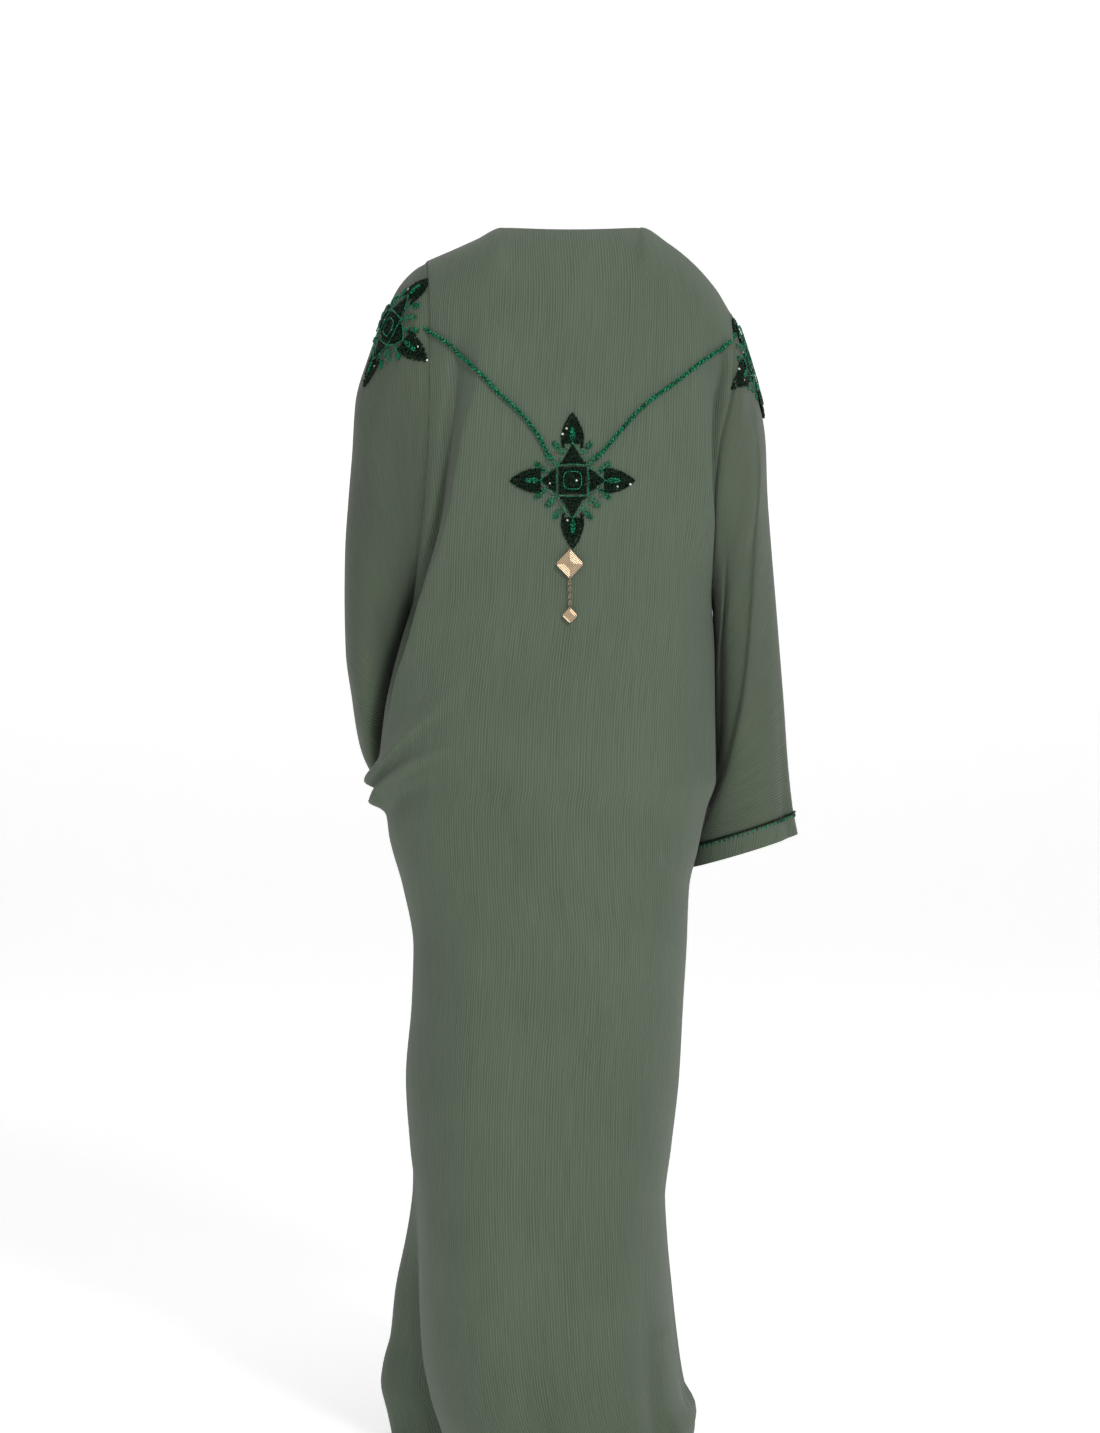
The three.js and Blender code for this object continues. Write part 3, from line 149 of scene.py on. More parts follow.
def unit(vectors: Array) -> Array:
    """Scale vectors along the last axis to length 1."""
    return vectors / np.maximum(np.linalg.norm(vectors, axis=-1, keepdims=True), 1e-12)


def stack(*parts: Array | float) -> Array:
    """Join coordinates into points along a new last axis."""
    return np.stack(np.broadcast_arrays(*parts), axis=-1)


@dataclass(frozen=True)
class Fold:
    """A ridge, or a trough where its height is negative, along a path over the cloth.

    The path's rows are key, place and height. The widths are those of its two flanks.
    """

    before: float
    after: float
    path: Path
    power: float = 2
    table: Table = field(init=False, compare=False, repr=False)

    def __post_init__(self) -> None:
        """Put the path in a table."""
        object.__setattr__(self, "table", Table("key place height", self.path))

    def place(self, key: Array) -> Array:
        """Where the fold lies at a key."""
        return self.table.read("place", key)

    def height(self, key: Array) -> Array:
        """How high the fold is at a key."""
        return self.table.read("height", key)


@dataclass(frozen=True)
class Neck:
    """Half of the neck hole: how far it reaches from the shoulder line, how far it falls and its last slope."""

    depth: float
    fall: float
    roll_end: float


@dataclass
class Body:
    """The body tube of the garment: a back and a front that meet at the side seams and the shoulders."""

    hem: float = -1431
    underarm: float = -428
    rounding: float = 0.62
    shoulder_y: float = 5
    shoulder_drop: float = 78
    neck_half: float = 82
    neck_z: float = 20
    back_neck: Neck = Neck(66, 10, 48)
    front_neck: Neck = Neck(78, 92, 62)
    squareness: float = 0.22
    arc_share: float = 0.86
    lap: float = 15
    lap_lift: float = 3.6
    lap_ease: float = 45
    pull: float = 1.1
    outline: Table = field(
        default_factory=lambda: Table(
            "z left right back front",
            (
                (-1431, -148, 138, -166, 171),
                (-1400, -157, 146, -164, 168),
                (-1370, -167, 132, -161, 165),
                (-1310, -178, 123, -157, 160),
                (-1250, -181, 117, -154, 156),
                (-1190, -182, 112, -151, 153),
                (-1140, -184, 110, -149, 151),
                (-1070, -192, 118, -147, 149),
                (-990, -197, 127, -145, 147),
                (-900, -190, 132, -145, 144),
                (-835, -188, 136, -146, 141),
                (-765, -200, 139, -146, 138),
                (-720, -213, 149, -144, 136),
                (-670, -226, 160, -142, 133),
                (-635, -229, 171, -140, 131),
                (-560, -223, 170, -137, 130),
                (-480, -205, 169, -133, 132),
                (-428, -189, 166, -131, 134),
            ),
        )
    )
    armhole: Table = field(
        default_factory=lambda: Table(
            "t left right back_edge front_edge back front spread",
            (
                (0, -189, 166, 0, 0, -131, 134, 90),
                (0.08, -183, 165, -38, 38, -130.4, 136, 72),
                (0.2, -175, 167, -68, 64, -129.2, 138, 60),
                (0.4, -167, 174, -88, 78, -126, 134, 52),
                (0.62, -166, 188, -88, 74, -116, 112, 50),
                (1, -173, 186, -88, 70, -112, 100, 50),
            ),
        )
    )
    swing: Table = field(
        default_factory=lambda: Table(
            "z out",
            (
                (-1431, 69),
                (-1400, 67),
                (-1370, 64),
                (-1350, 57),
                (-1310, 40),
                (-1250, 30),
                (-1190, 16),
                (-1140, 6),
                (-1100, 0),
            ),
        )
    )
    shoulder: Table = field(
        default_factory=lambda: Table(
            "x z",
            (
                (-190, -28),
                (-173, -20),
                (-140, -6),
                (-113, 6),
                (-82, 20),
                (82, 20),
                (113, 2),
                (140, -19),
                (170, -52),
                (186, -78),
                (200, -100),
            ),
        )
    )
    back_folds: tuple[Fold, ...] = (
        Fold(12, 36, ((-80, -106, 0), (-160, -107, 8), (-240, -125, 13), (-326, -139, 16), (-430, -170, 18),
                      (-481, -185, 16), (-526, -203, 9), (-575, -215, 2), (-620, -222, 0)), 1.35),
        Fold(9, 10, ((-120, -131, 0), (-175, -137, -9), (-316, -156, -15), (-422, -184, -17),
                     (-481, -199, -14), (-530, -212, -6), (-575, -218, 0))),
        Fold(32, 8, ((-100, 150, 0), (-150, 151, 4), (-230, 156, 8), (-302, 158, 8), (-388, 160, 4),
                     (-450, 162, 0))),
        Fold(8, 8, ((-110, 178, 0), (-153, 175, -10), (-195, 170, -14), (-240, 167, -12), (-330, 166, 0))),
        Fold(18, 15, ((-1200, -52, 0), (-1313, -43, -4), (-1375, -36, -8), (-1431, -6, -10))),
        Fold(20, 16, ((-1180, 76, 0), (-1260, 84, -4), (-1336, 92, -10), (-1431, 108, -17))),
        Fold(7, 4, ((-1372, 112, 0), (-1400, 119, -10), (-1431, 124, -22))),
        Fold(50, 60, ((-700, -110, 0), (-900, -112, 4), (-1431, -100, 9))),
        Fold(45, 40, ((-600, 60, 0), (-900, 48, 4), (-1431, 52, 10))),
    )
    hip_folds: tuple[Fold, ...] = (
        Fold(7, 17, ((-1.35, -640, 0), (-1.12, -641, 9), (-0.97, -637, 18), (-0.85, -627, 15),
                     (-0.71, -604, 11), (-0.56, -574, 7), (-0.34, -530, 0))),
        Fold(8, 6, ((-1.35, -658, 0), (-1.12, -659, 8), (-0.97, -660, 15), (-0.85, -646, 13),
                    (-0.68, -628, 8.5), (-0.52, -609, 5), (-0.34, -592, 0))),
        Fold(20, 9, ((-1.3, -684, 0), (-1.0, -680, -4), (-0.8, -668, -9), (-0.6, -650, -6),
                     (-0.38, -636, 0))),
        Fold(5, 5, ((-0.58, -1234, 0), (-0.38, -1245, 2.4), (-0.12, -1257, 0))),
        Fold(4, 6, ((-0.1, -902, 0), (0.08, -905, 1.9), (0.24, -908, 0))),
        Fold(5, 5, ((0.5, -1286, 0), (0.7, -1285, 2.4), (0.92, -1283, 0))),
    )
    front_folds: tuple[tuple[float, float, float, float], ...] = (
        (-1.05, 7, -1130, -18),
        (-1.24, 26, -520, 15),
        (-1.5, 24, -330, 19),
        (-1.76, 22, -420, 13),
        (1.26, 25, -470, 16),
        (1.52, 24, -320, 18),
        (1.78, 20, -450, 12),
    )

    def section(self, v: Array, face: Face) -> dict[str, Array]:
        """The section at a row: its edges, its reach and how far round each half spans.

        Args:
            v: The row, 0 at the hem, 1 at the underarm and 2 at the shoulder.
            face: The side of the body.

        Returns:
            The left and right edges, the y of the edges, the y of the middle and half the angle spanned.
        """
        name = face.value
        z = lerp(self.hem, self.underarm, v)
        t = np.clip(v - 1, 0, 1)
        cut = np.minimum(t, self.rounding)
        low = v <= 1
        return {
            "left": np.where(low, self.outline.read("left", z), self.armhole.read("left", t)),
            "right": np.where(low, self.outline.read("right", z), self.armhole.read("right", t)),
            "edge": np.where(low, 0.0, self.armhole.read(name + "_edge", cut)),
            "reach": np.where(low, self.outline.read(name, z), self.armhole.read(name, cut)),
            "spread": np.where(low, np.pi / 2, np.radians(self.armhole.read("spread", t))),
        }

    def squared(self, turn: Array) -> Array:
        """The reach at a turn: a cosine made squarer by a sine squared."""
        return np.cos(turn) * (1 + self.squareness * np.sin(turn) ** 2)

    def plain(self, u: Array, v: Array, face: Face) -> Array:
        """A point of the body before folds.

        Across, x follows the sine of the turn and y its squared cosine. Up, the wall is straight to the foot of
        the shoulder and then rolls over to the shoulder seam or the neck.

        Args:
            u: The column, -1 at the left edge and 1 at the right.
            v: The row, 0 at the hem, 1 at the underarm and 2 at the shoulder.
            face: The side of the body.

        Returns:
            The points.
        """
        at = self.section(v, face)
        turn = at["spread"] * u
        half = (at["right"] - at["left"]) / 2
        x = (at["left"] + at["right"]) / 2 + half * np.sin(turn) / np.sin(at["spread"])
        floor = self.squared(at["spread"])
        share = (self.squared(turn) - floor) / (self.squared(0.0) - floor)
        y = lerp(at["edge"], at["reach"], share)
        z = lerp(self.hem, self.underarm, v)
        t = v - 1
        neck, side = (self.back_neck, -1) if face is Face.BACK else (self.front_neck, 1)
        across = np.minimum(1, np.abs(x) / self.neck_half)
        round_share = np.sqrt(np.maximum(0, 1 - across**2))
        seam_z = self.shoulder.read("z", x)
        top_z = np.where(across >= 1, seam_z, self.neck_z - neck.fall * round_share**1.5)
        top_y = self.shoulder_y + side * neck.depth * round_share
        top_roll = np.radians(lerp(90, neck.roll_end, smooth(0, 0.6, round_share)))
        foot = top_z - self.shoulder_drop
        roll = top_roll * np.clip(t - self.rounding, 0, 1) / (1 - self.rounding)
        over = (np.cos(roll) - np.cos(top_roll)) / (1 - np.cos(top_roll))
        wall_z = lerp(self.underarm, foot, np.minimum(t, self.rounding) / self.rounding)
        roll_z = foot + self.shoulder_drop * np.sin(roll) / np.sin(top_roll)
        low, wall = v <= 1, t <= self.rounding
        swung = x + np.where(low, self.front_swing(u, z, face), 0.0)
        return stack(swung, np.where(wall, y, lerp(top_y, y, over)), np.where(low, z, np.where(wall, wall_z, roll_z)))

    def front_swing(self, u: Array, z: Array, face: Face) -> Array:
        """How far the left front stands out past the back near the hem.

        Args:
            u: The column.
            z: The level.
            face: The side of the body.

        Returns:
            The distances, towards the wearer's left.
        """
        if face is Face.BACK:
            return np.zeros_like(u)
        turn = np.clip((1 + u) * 90, 0, 90)
        ease = smooth(0, 24, turn) * np.cos(np.radians(turn)) ** 0.7
        return np.where(u < 0, -self.swing.read("out", z) * ease, 0.0)

    def column_at(self, x: Array, v: Array, face: Face) -> Array:
        """The column at which the plain body has a given x.

        Args:
            x: Where to look, across the body.
            v: The row.
            face: The side of the body.

        Returns:
            The columns.
        """
        at = self.section(v, face)
        s = np.clip((x - (at["left"] + at["right"]) / 2) * 2 / (at["right"] - at["left"]), -1, 1)
        return np.arcsin(s * np.sin(at["spread"])) / at["spread"]

    def height(self, u: Array, v: Array, face: Face, z: Array) -> Array:
        """The height of all folds: each is a bell across its path.

        Args:
            u: The column.
            v: The row.
            face: The side of the body.
            z: The level of the plain point.

        Returns:
            The heights.
        """
        at = self.section(v, face)
        half_row = (at["right"] - at["left"]) / 2 * at["spread"] / np.sin(at["spread"]) * self.arc_share
        around = u if face is Face.BACK else np.sign(u) * (2 - np.abs(u))
        total = np.zeros_like(z)
        for fold in self.back_folds:
            away = (around - self.column_at(fold.place(z), v, Face.BACK)) * half_row
            total += fold.height(z) * bell(away, fold.before, fold.after, fold.power)
        for fold in self.hip_folds:
            total += fold.height(around) * bell(z - fold.place(around), fold.before, fold.after)
        if face is Face.FRONT:
            for place, width, top, foot in self.front_folds:
                rise = foot * (1 - smooth(self.hem, top, z)) * (v <= 1.6)
                total += rise * bell((around - place) * half_row, width, width)
        return total

    def point(self, u: Array, v: Array, face: Face) -> Array:
        """A point of the finished body: the plain point moved out along its normal by the folds' height.

        On the back the folds also lean towards the back, all but at the side seams, where a wearer pulls them flat.

        Args:
            u: The column.
            v: The row.
            face: The side of the body.

        Returns:
            The points.
        """
        step = 1e-3
        plain = self.plain(u, v, face)
        across = self.plain(np.minimum(1, u + step), v, face) - self.plain(np.maximum(-1, u - step), v, face)
        up = self.plain(u, np.minimum(2, v + step), face) - self.plain(u, np.maximum(0, v - step), face)
        out = unit(np.cross(across, up)) * (1 if face is Face.BACK else -1)
        if face is Face.BACK:
            out = unit(out - stack(0.0, self.pull * (1 - u**4), 0.0))
        lift = self.height(u, v, face, plain[..., 2]) * smooth(0, 0.1, 2 - v)
        return plain + out * lift[..., None]

    def back_point(self, u: Array, v: Array) -> Array:
        """A point of the back, carried straight on past its side edges.

        Args:
            u: The column.
            v: The row.

        Returns:
            The points.
        """
        inside = np.clip(u, -1, 1)
        v = np.clip(v, 0, 2)
        edge = self.point(inside, v, Face.BACK)
        return 2 * edge - self.point(2 * inside - u, v, Face.BACK)

    def front_point(self, side: int, share: Array, v: Array) -> Array:
        """A point of a front, from its side seam (share 0) to its edge past the centre (share 1).

        Args:
            side: -1 for the left front and 1 for the right.
            share: How far across.
            v: The row.

        Returns:
            The points.
        """
        edge = self.column_at(np.full_like(v, -side * self.lap), v, Face.FRONT)
        point = self.point(lerp(float(side), edge, share), v, Face.FRONT)
        if side > 0:
            point[..., 1] += self.lap_lift * (1 - smooth(self.lap, self.lap + self.lap_ease, point[..., 0]))
        return point


@dataclass
class Sleeve:
    """A sleeve: share runs from the armhole (0) to the cuff seam (1) and on to the cuff's edge (2).

    The turn is the angle round from the outer edge, with the back at 90 degrees and the underarm at 180.
    """

    body: Body
    side: int
    rows: Path
    cuff_end: tuple[float, ...]
    folds: tuple[Fold, ...]
    loop_size: int = 480
    ease: float = 0.8
    puff: float = 4.5

    def __post_init__(self) -> None:
        """Number the sections and read the armhole's loop from the body's edges."""
        count = len(self.rows) - 1
        rows = [(i / count, *row) for i, row in enumerate(self.rows)] + [(2.0, *self.cuff_end)]
        self.sections = Table("share out_x out_z in_x in_z y half own tilt", tuple(rows))
        turn = np.arange(self.loop_size) / self.loop_size * 2
        u = np.full(self.loop_size, float(self.side))
        back = self.body.point(u, 2 - np.minimum(turn, 1), Face.BACK)
        front = self.body.point(u, np.maximum(turn, 1), Face.FRONT)
        self.loop = np.where(turn[:, None] <= 1, back, front)
        self.tip = self.loop[0]
        self.underarm = self.loop[self.loop_size // 2]
        self.top = (self.tip + self.underarm) / 2

    def armhole_at(self, turn: Array) -> tuple[Array, Array]:
        """The armhole's own outline at a turn, as its share of the arm's length and the rest of its offset.

        Args:
            turn: The angle round the sleeve, in radians.

        Returns:
            The shares and the rests.
        """
        place = (turn / (2 * np.pi) * self.loop_size) % self.loop_size
        k = np.floor(place).astype(int) % self.loop_size
        share = (place - np.floor(place))[..., None]
        away = lerp(self.loop[k], self.loop[(k + 1) % self.loop_size], share) - self.top
        arm = self.tip - self.top
        arm_share = away @ arm / (arm @ arm)
        return arm_share, away - arm_share[..., None] * arm

    def lift(self, share: Array, turn: Array, radius: Array) -> Array:
        """How far the folds, each a bell across its path, and the puff beside the armhole lift the sleeve.

        Args:
            share: How far down the sleeve.
            turn: The angle round it, in radians.
            radius: The radius that turns an angle into a distance.

        Returns:
            The heights.
        """
        total = np.zeros_like(share)
        for fold in self.folds:
            away = (turn - np.radians(fold.place(share))) * radius
            total += fold.height(share) * bell(away, fold.before, fold.after)
        from_underarm = np.abs(np.mod(turn, 2 * np.pi) - np.pi)
        head = self.puff * bell(share - 0.07, 0.03, 0.08) * smooth(0.2, 1.0, from_underarm)
        return (total + head) * smooth(0, 0.06, share)

    def point(self, share: Array, turn: Array) -> Array:
        """A point of the sleeve.

        Each section is an ellipse between its outer and inner edges, mixed near the top with the armhole's own
        outline. Past the armhole the surface is carried straight on.

        Args:
            share: How far down the sleeve.
            turn: The angle round it, in radians.

        Returns:
            The points.
        """
        share, turn = np.broadcast_arrays(np.asarray(share, float), np.asarray(turn, float))
        past = share < 0
        if past.any():
            edge = self.point(np.zeros_like(share), turn)
            mirrored = self.point(np.abs(share), turn)
            return np.where(past[..., None], 2 * edge - mirrored, mirrored)
        read = {name: self.sections.read(name, share) for name in self.sections.columns}
        near = smooth(0.7, 1, read["own"])[..., None]
        out = lerp(stack(read["out_x"], read["y"], read["out_z"]), self.tip, near)
        under = lerp(stack(read["in_x"], read["y"], read["in_z"]), self.underarm, near)
        centre = (out + under) / 2
        arm = out - centre
        arm_share, rest = self.armhole_at(turn)
        point = centre + arm * lerp(np.cos(turn), arm_share, read["own"])[..., None]
        depth = read["half"] * np.sin(turn) * (1 - read["own"])
        tilt = np.radians(read["tilt"])
        point = point + stack(0.0, -depth * np.cos(tilt), -depth * np.sin(tilt)) + rest * read["own"][..., None]
        outward = point - centre
        along = np.sum(outward * arm, -1) / np.sum(arm * arm, -1)
        outward = unit(outward - 0.6 * along[..., None] * arm)
        height = self.lift(share, turn, (np.linalg.norm(arm, axis=-1) + read["half"]) / 2)
        point = point + outward * height[..., None]
        wrapped = np.mod(turn, 2 * np.pi) - np.pi
        point[..., 0] += self.side * self.ease * np.exp(-((share / 0.04) ** 2) - (wrapped / 0.2) ** 2)
        return point


def build_mesh(name: str, points: Array, quads: Array, uv: Array | None = None) -> bpy.types.Object:
    """Put points and quads into a smooth-shaded mesh object at the origin.

    Args:
        name: The piece's name.
        points: The points in millimetres, one row each.
        quads: Four point numbers a face, anticlockwise seen from outside.
        uv: The cloth coordinates of each face corner in metres, if the piece has any.

    Returns:
        The object.
    """
    mesh = bpy.data.meshes.new(name)
    mesh.vertices.add(len(points))
    mesh.vertices.foreach_set("co", (points * MM).astype(np.float32).ravel())
    mesh.loops.add(quads.size)
    mesh.loops.foreach_set("vertex_index", quads.astype(np.int32).ravel())
    mesh.polygons.add(len(quads))
    mesh.polygons.foreach_set("loop_start", np.arange(0, quads.size, 4, dtype=np.int32))
    if uv is not None:
        layer = mesh.uv_layers.new(name="cloth")
        layer.data.foreach_set("uv", uv.astype(np.float32).ravel())
    mesh.update(calc_edges=True)
    mesh.validate()
    mesh.polygons.foreach_set("use_smooth", np.ones(len(mesh.polygons), dtype=bool))
    piece = bpy.data.objects.new(name, mesh)
    bpy.context.scene.collection.objects.link(piece)
    return piece


def grid_normals(points: Array, closed: bool) -> Array:
    """Unit normals of a grid from the cross product of its two differences.

    Args:
        points: The grid, rows by columns by 3.
        closed: Whether its columns run all the way round.

    Returns:
        The normals.
    """
    if closed:
        across = np.roll(points, -1, 1) - np.roll(points, 1, 1)
    else:
        across = np.gradient(points, axis=1)
    return unit(np.cross(across, np.gradient(points, axis=0)))


def cloth_wall(
    name: str, points: Array, closed: bool, thickness: float, grain: Grain, hem: float
) -> bpy.types.Object:
    """A closed wall of cloth about a grid of points, half its thickness to each side along the normals.

    The cloth coordinates are distances over the surface: across the grain along a row, and along it down a column.

    Args:
        name: The piece's name.
        points: The grid, rows by columns by 3, facing out when rows and columns turn anticlockwise.
        closed: Whether its columns run all the way round.
        thickness: The wall's thickness.
        grain: Which way the crinkles run.
        hem: How much thicker the first rows are, where the hem is turned up.

    Returns:
        The object.
    """
    rows, count = points.shape[:2]
    normals = grid_normals(points, closed)
    half = np.full((rows, 1, 1), thickness / 2)
    half[:1] += hem
    shell = np.concatenate([points + normals * half, points - normals * half]).reshape(-1, 3)
    ring = np.concatenate([points, points[:, :1]], 1) if closed else points
    across = np.concatenate([np.zeros((rows, 1)), np.cumsum(np.linalg.norm(np.diff(ring, axis=1), axis=-1), 1)], 1)
    across -= across[:, across.shape[1] // 2][:, None]
    down = np.concatenate([[0], np.cumsum(np.linalg.norm(np.diff(points, axis=0), axis=-1).mean(1))])[:, None]
    flat = stack(across, down) if grain is Grain.DOWN else stack(down, across)
    spans = count if closed else count - 1
    j, i = np.meshgrid(np.arange(rows - 1), np.arange(spans), indexing="ij")
    corners = ((0, 0), (0, 1), (1, 1), (1, 0))
    outer = stack(*[(j + b) * count + (i + a) % count for b, a in corners]).reshape(-1, 4)
    uv = np.stack([flat[j + b, i + a] for b, a in corners], -2).reshape(-1, 4, 2)
    inner = outer[:, ::-1] + rows * count
    faces, flats = [outer, inner], [uv, uv[:, ::-1]]
    edges = [(outer[:spans, 0], outer[:spans, 1], uv[:spans, 0], uv[:spans, 1])]
    edges.append((outer[-spans:, 2], outer[-spans:, 3], uv[-spans:, 2], uv[-spans:, 3]))
    if not closed:
        edges.append((outer[::spans, 3], outer[::spans, 0], uv[::spans, 3], uv[::spans, 0]))
        last = slice(spans - 1, None, spans)
        edges.append((outer[last, 1], outer[last, 2], uv[last, 1], uv[last, 2]))
    for a, b, uv_a, uv_b in edges:
        under = rows * count
        faces.append(np.stack([b, a, a + under, b + under], -1))
        flats.append(np.stack([uv_b, uv_a, uv_a, uv_b], -2))
    return build_mesh(name, shell, np.concatenate(faces), np.concatenate(flats) * MM)


@dataclass(frozen=True)
class Patch:
    """A surface of two numbers that trimmings lie on, and the sign that turns its normal out."""

    at: Callable[[Array, Array], Array]
    sign: float
    seam: float

    def frame(self, a: Array, b: Array) -> tuple[Array, Array, Array]:
        """The two directions of the surface at a place, by small differences, and its outward normal.

        Args:
            a: The first number of each place.
            b: The second number of each place.

        Returns:
            The two directions and the normal.
        """
        step = 2e-3
        da = (self.at(a + step, b) - self.at(a - step, b)) / (2 * step)
        db = (self.at(a, b + step) - self.at(a, b - step)) / (2 * step)
        return da, db, unit(np.cross(da, db)) * self.sign

    def moved(self, a: Array, b: Array, step: Array) -> tuple[Array, Array]:
        """Move a place by a small step in space, as far as the surface allows.

        Args:
            a: The first number of each place.
            b: The second number of each place.
            step: The steps, one row each.

        Returns:
            The numbers of the places reached, by solving the two directions' normal equations.
        """
        da, db, _ = self.frame(a, b)
        aa, ab, bb = np.sum(da * da, -1), np.sum(da * db, -1), np.sum(db * db, -1)
        p, q = np.sum(step * da, -1), np.sum(step * db, -1)
        area = aa * bb - ab * ab
        return a + (bb * p - ab * q) / area, b + (aa * q - ab * p) / area

    def place_at(self, x: Array, z: Array, a: Array, b: Array) -> tuple[Array, Array]:
        """The places that show at x and z from behind, by repeated steps from a first guess.

        Args:
            x: Where to look, across.
            z: Where to look, up.
            a: The first guess of the first number.
            b: The first guess of the second number.

        Returns:
            The numbers of the places.
        """
        for _ in range(14):
            away = stack(x, 0.0, z) - self.at(a, b)
            normal = self.frame(a, b)[2]
            away[..., 1] = -(normal[..., 0] * away[..., 0] + normal[..., 2] * away[..., 2]) / normal[..., 1]
            length = np.maximum(np.linalg.norm(away, axis=-1, keepdims=True), 1e-9)
            a, b = self.moved(a, b, away * np.minimum(1, 40 / length))
        return a, b

    def spread(self, flat: Array, centre: tuple[float, float], turned: float) -> tuple[Array, Array]:
        """Lay flat points on the surface by walking straight out from a centre.

        Args:
            flat: Points (right, up) in millimetres from the centre, one row each.
            centre: The place of the centre.
            turned: How far the flat layout is turned clockwise, in degrees.

        Returns:
            The numbers of the places.
        """
        a = np.full(len(flat), float(centre[0]))
        b = np.full(len(flat), float(centre[1]))
        normal = self.frame(a, b)[2]
        up = np.array([0.0, 0.0, 1.0]) - normal * normal[..., 2:]
        up = unit(up)
        side = np.cross(up, normal)
        angle = np.radians(turned)
        right = flat[:, 0] * np.cos(angle) + flat[:, 1] * np.sin(angle)
        rise = flat[:, 1] * np.cos(angle) - flat[:, 0] * np.sin(angle)
        ahead = side * right[:, None] + up * rise[:, None]
        length = np.linalg.norm(ahead, axis=-1, keepdims=True)
        ahead = ahead / np.maximum(length, 1e-9)
        steps = 16
        for _ in range(steps):
            normal = self.frame(a, b)[2]
            ahead = unit(ahead - normal * np.sum(ahead * normal, -1, keepdims=True))
            a, b = self.moved(a, b, ahead * length / steps)
        return a, b


@dataclass(frozen=True)
class BeadShape:
    """A bead as a short tube of rings, with as few faces as still look round."""

    rings: Path = ((-1.0, 0.42), (-0.62, 0.92), (0.62, 0.92), (1.0, 0.42))
    sides: int = 6

    def template(self) -> tuple[Array, Array]:
        """The bead along +Z with half length 1 and radius 1, and its faces: rings of a round profile.

        Returns:
            The points and the quads.
        """
        angle = np.arange(self.sides) / self.sides * 2 * np.pi
        points = np.array([[r * np.cos(t), r * np.sin(t), z] for z, r in self.rings for t in angle])
        j, i = np.meshgrid(np.arange(len(self.rings) - 1), np.arange(self.sides), indexing="ij")
        after = (i + 1) % self.sides
        low, high = j * self.sides, (j + 1) * self.sides
        walls = stack(low + i, low + after, high + after, high + i)
        cap = np.array([[0, 3, 2, 1], [0, 5, 4, 3]])
        top = cap[:, ::-1] + (len(self.rings) - 1) * self.sides
        return points, np.concatenate([walls.reshape(-1, 4), cap, top])

    def strung(
        self, name: str, centres: Array, axes: Array, outs: Array, half: float, radius: float
    ) -> bpy.types.Object:
        """Make one mesh of many beads, each the template turned to its own axis.

        Args:
            name: The piece's name.
            centres: The beads' centres in millimetres.
            axes: The direction of each bead's hole.
            outs: A direction roughly square to each axis.
            half: Half of a bead's length.
            radius: A bead's radius.

        Returns:
            The object.
        """
        points, quads = self.template()
        axes = unit(axes)
        side = unit(np.cross(axes, outs))
        out = np.cross(side, axes)
        placed = (
            centres[:, None]
            + points[None, :, 0, None] * (out * radius)[:, None]
            + points[None, :, 1, None] * (side * -radius)[:, None]
            + points[None, :, 2, None] * (axes * half)[:, None]
        )
        numbers = quads[None] + (np.arange(len(centres)) * len(points))[:, None, None]
        return build_mesh(name, placed.reshape(-1, 3), numbers.reshape(-1, 4)[:, ::-1])


@dataclass(frozen=True)
class Number:
    """A number on its way through a shader, with the usual arithmetic."""

    shader: "Shader"
    socket: bpy.types.NodeSocket

    def __add__(self, other: "Number | float") -> "Number":
        """Add."""
        return self.shader.math("ADD", self, other)

    def __radd__(self, other: float) -> "Number":
        """Add to a number."""
        return self.shader.math("ADD", other, self)

    def __sub__(self, other: "Number | float") -> "Number":
        """Take away."""
        return self.shader.math("SUBTRACT", self, other)

    def __rsub__(self, other: float) -> "Number":
        """Take away from a number."""
        return self.shader.math("SUBTRACT", other, self)

    def __mul__(self, other: "Number | float") -> "Number":
        """Multiply."""
        return self.shader.math("MULTIPLY", self, other)

    def __rmul__(self, other: float) -> "Number":
        """Multiply a number."""
        return self.shader.math("MULTIPLY", other, self)

    def __truediv__(self, other: "Number | float") -> "Number":
        """Divide."""
        return self.shader.math("DIVIDE", self, other)

    def __abs__(self) -> "Number":
        """Drop the sign."""
        return self.shader.math("ABSOLUTE", self)


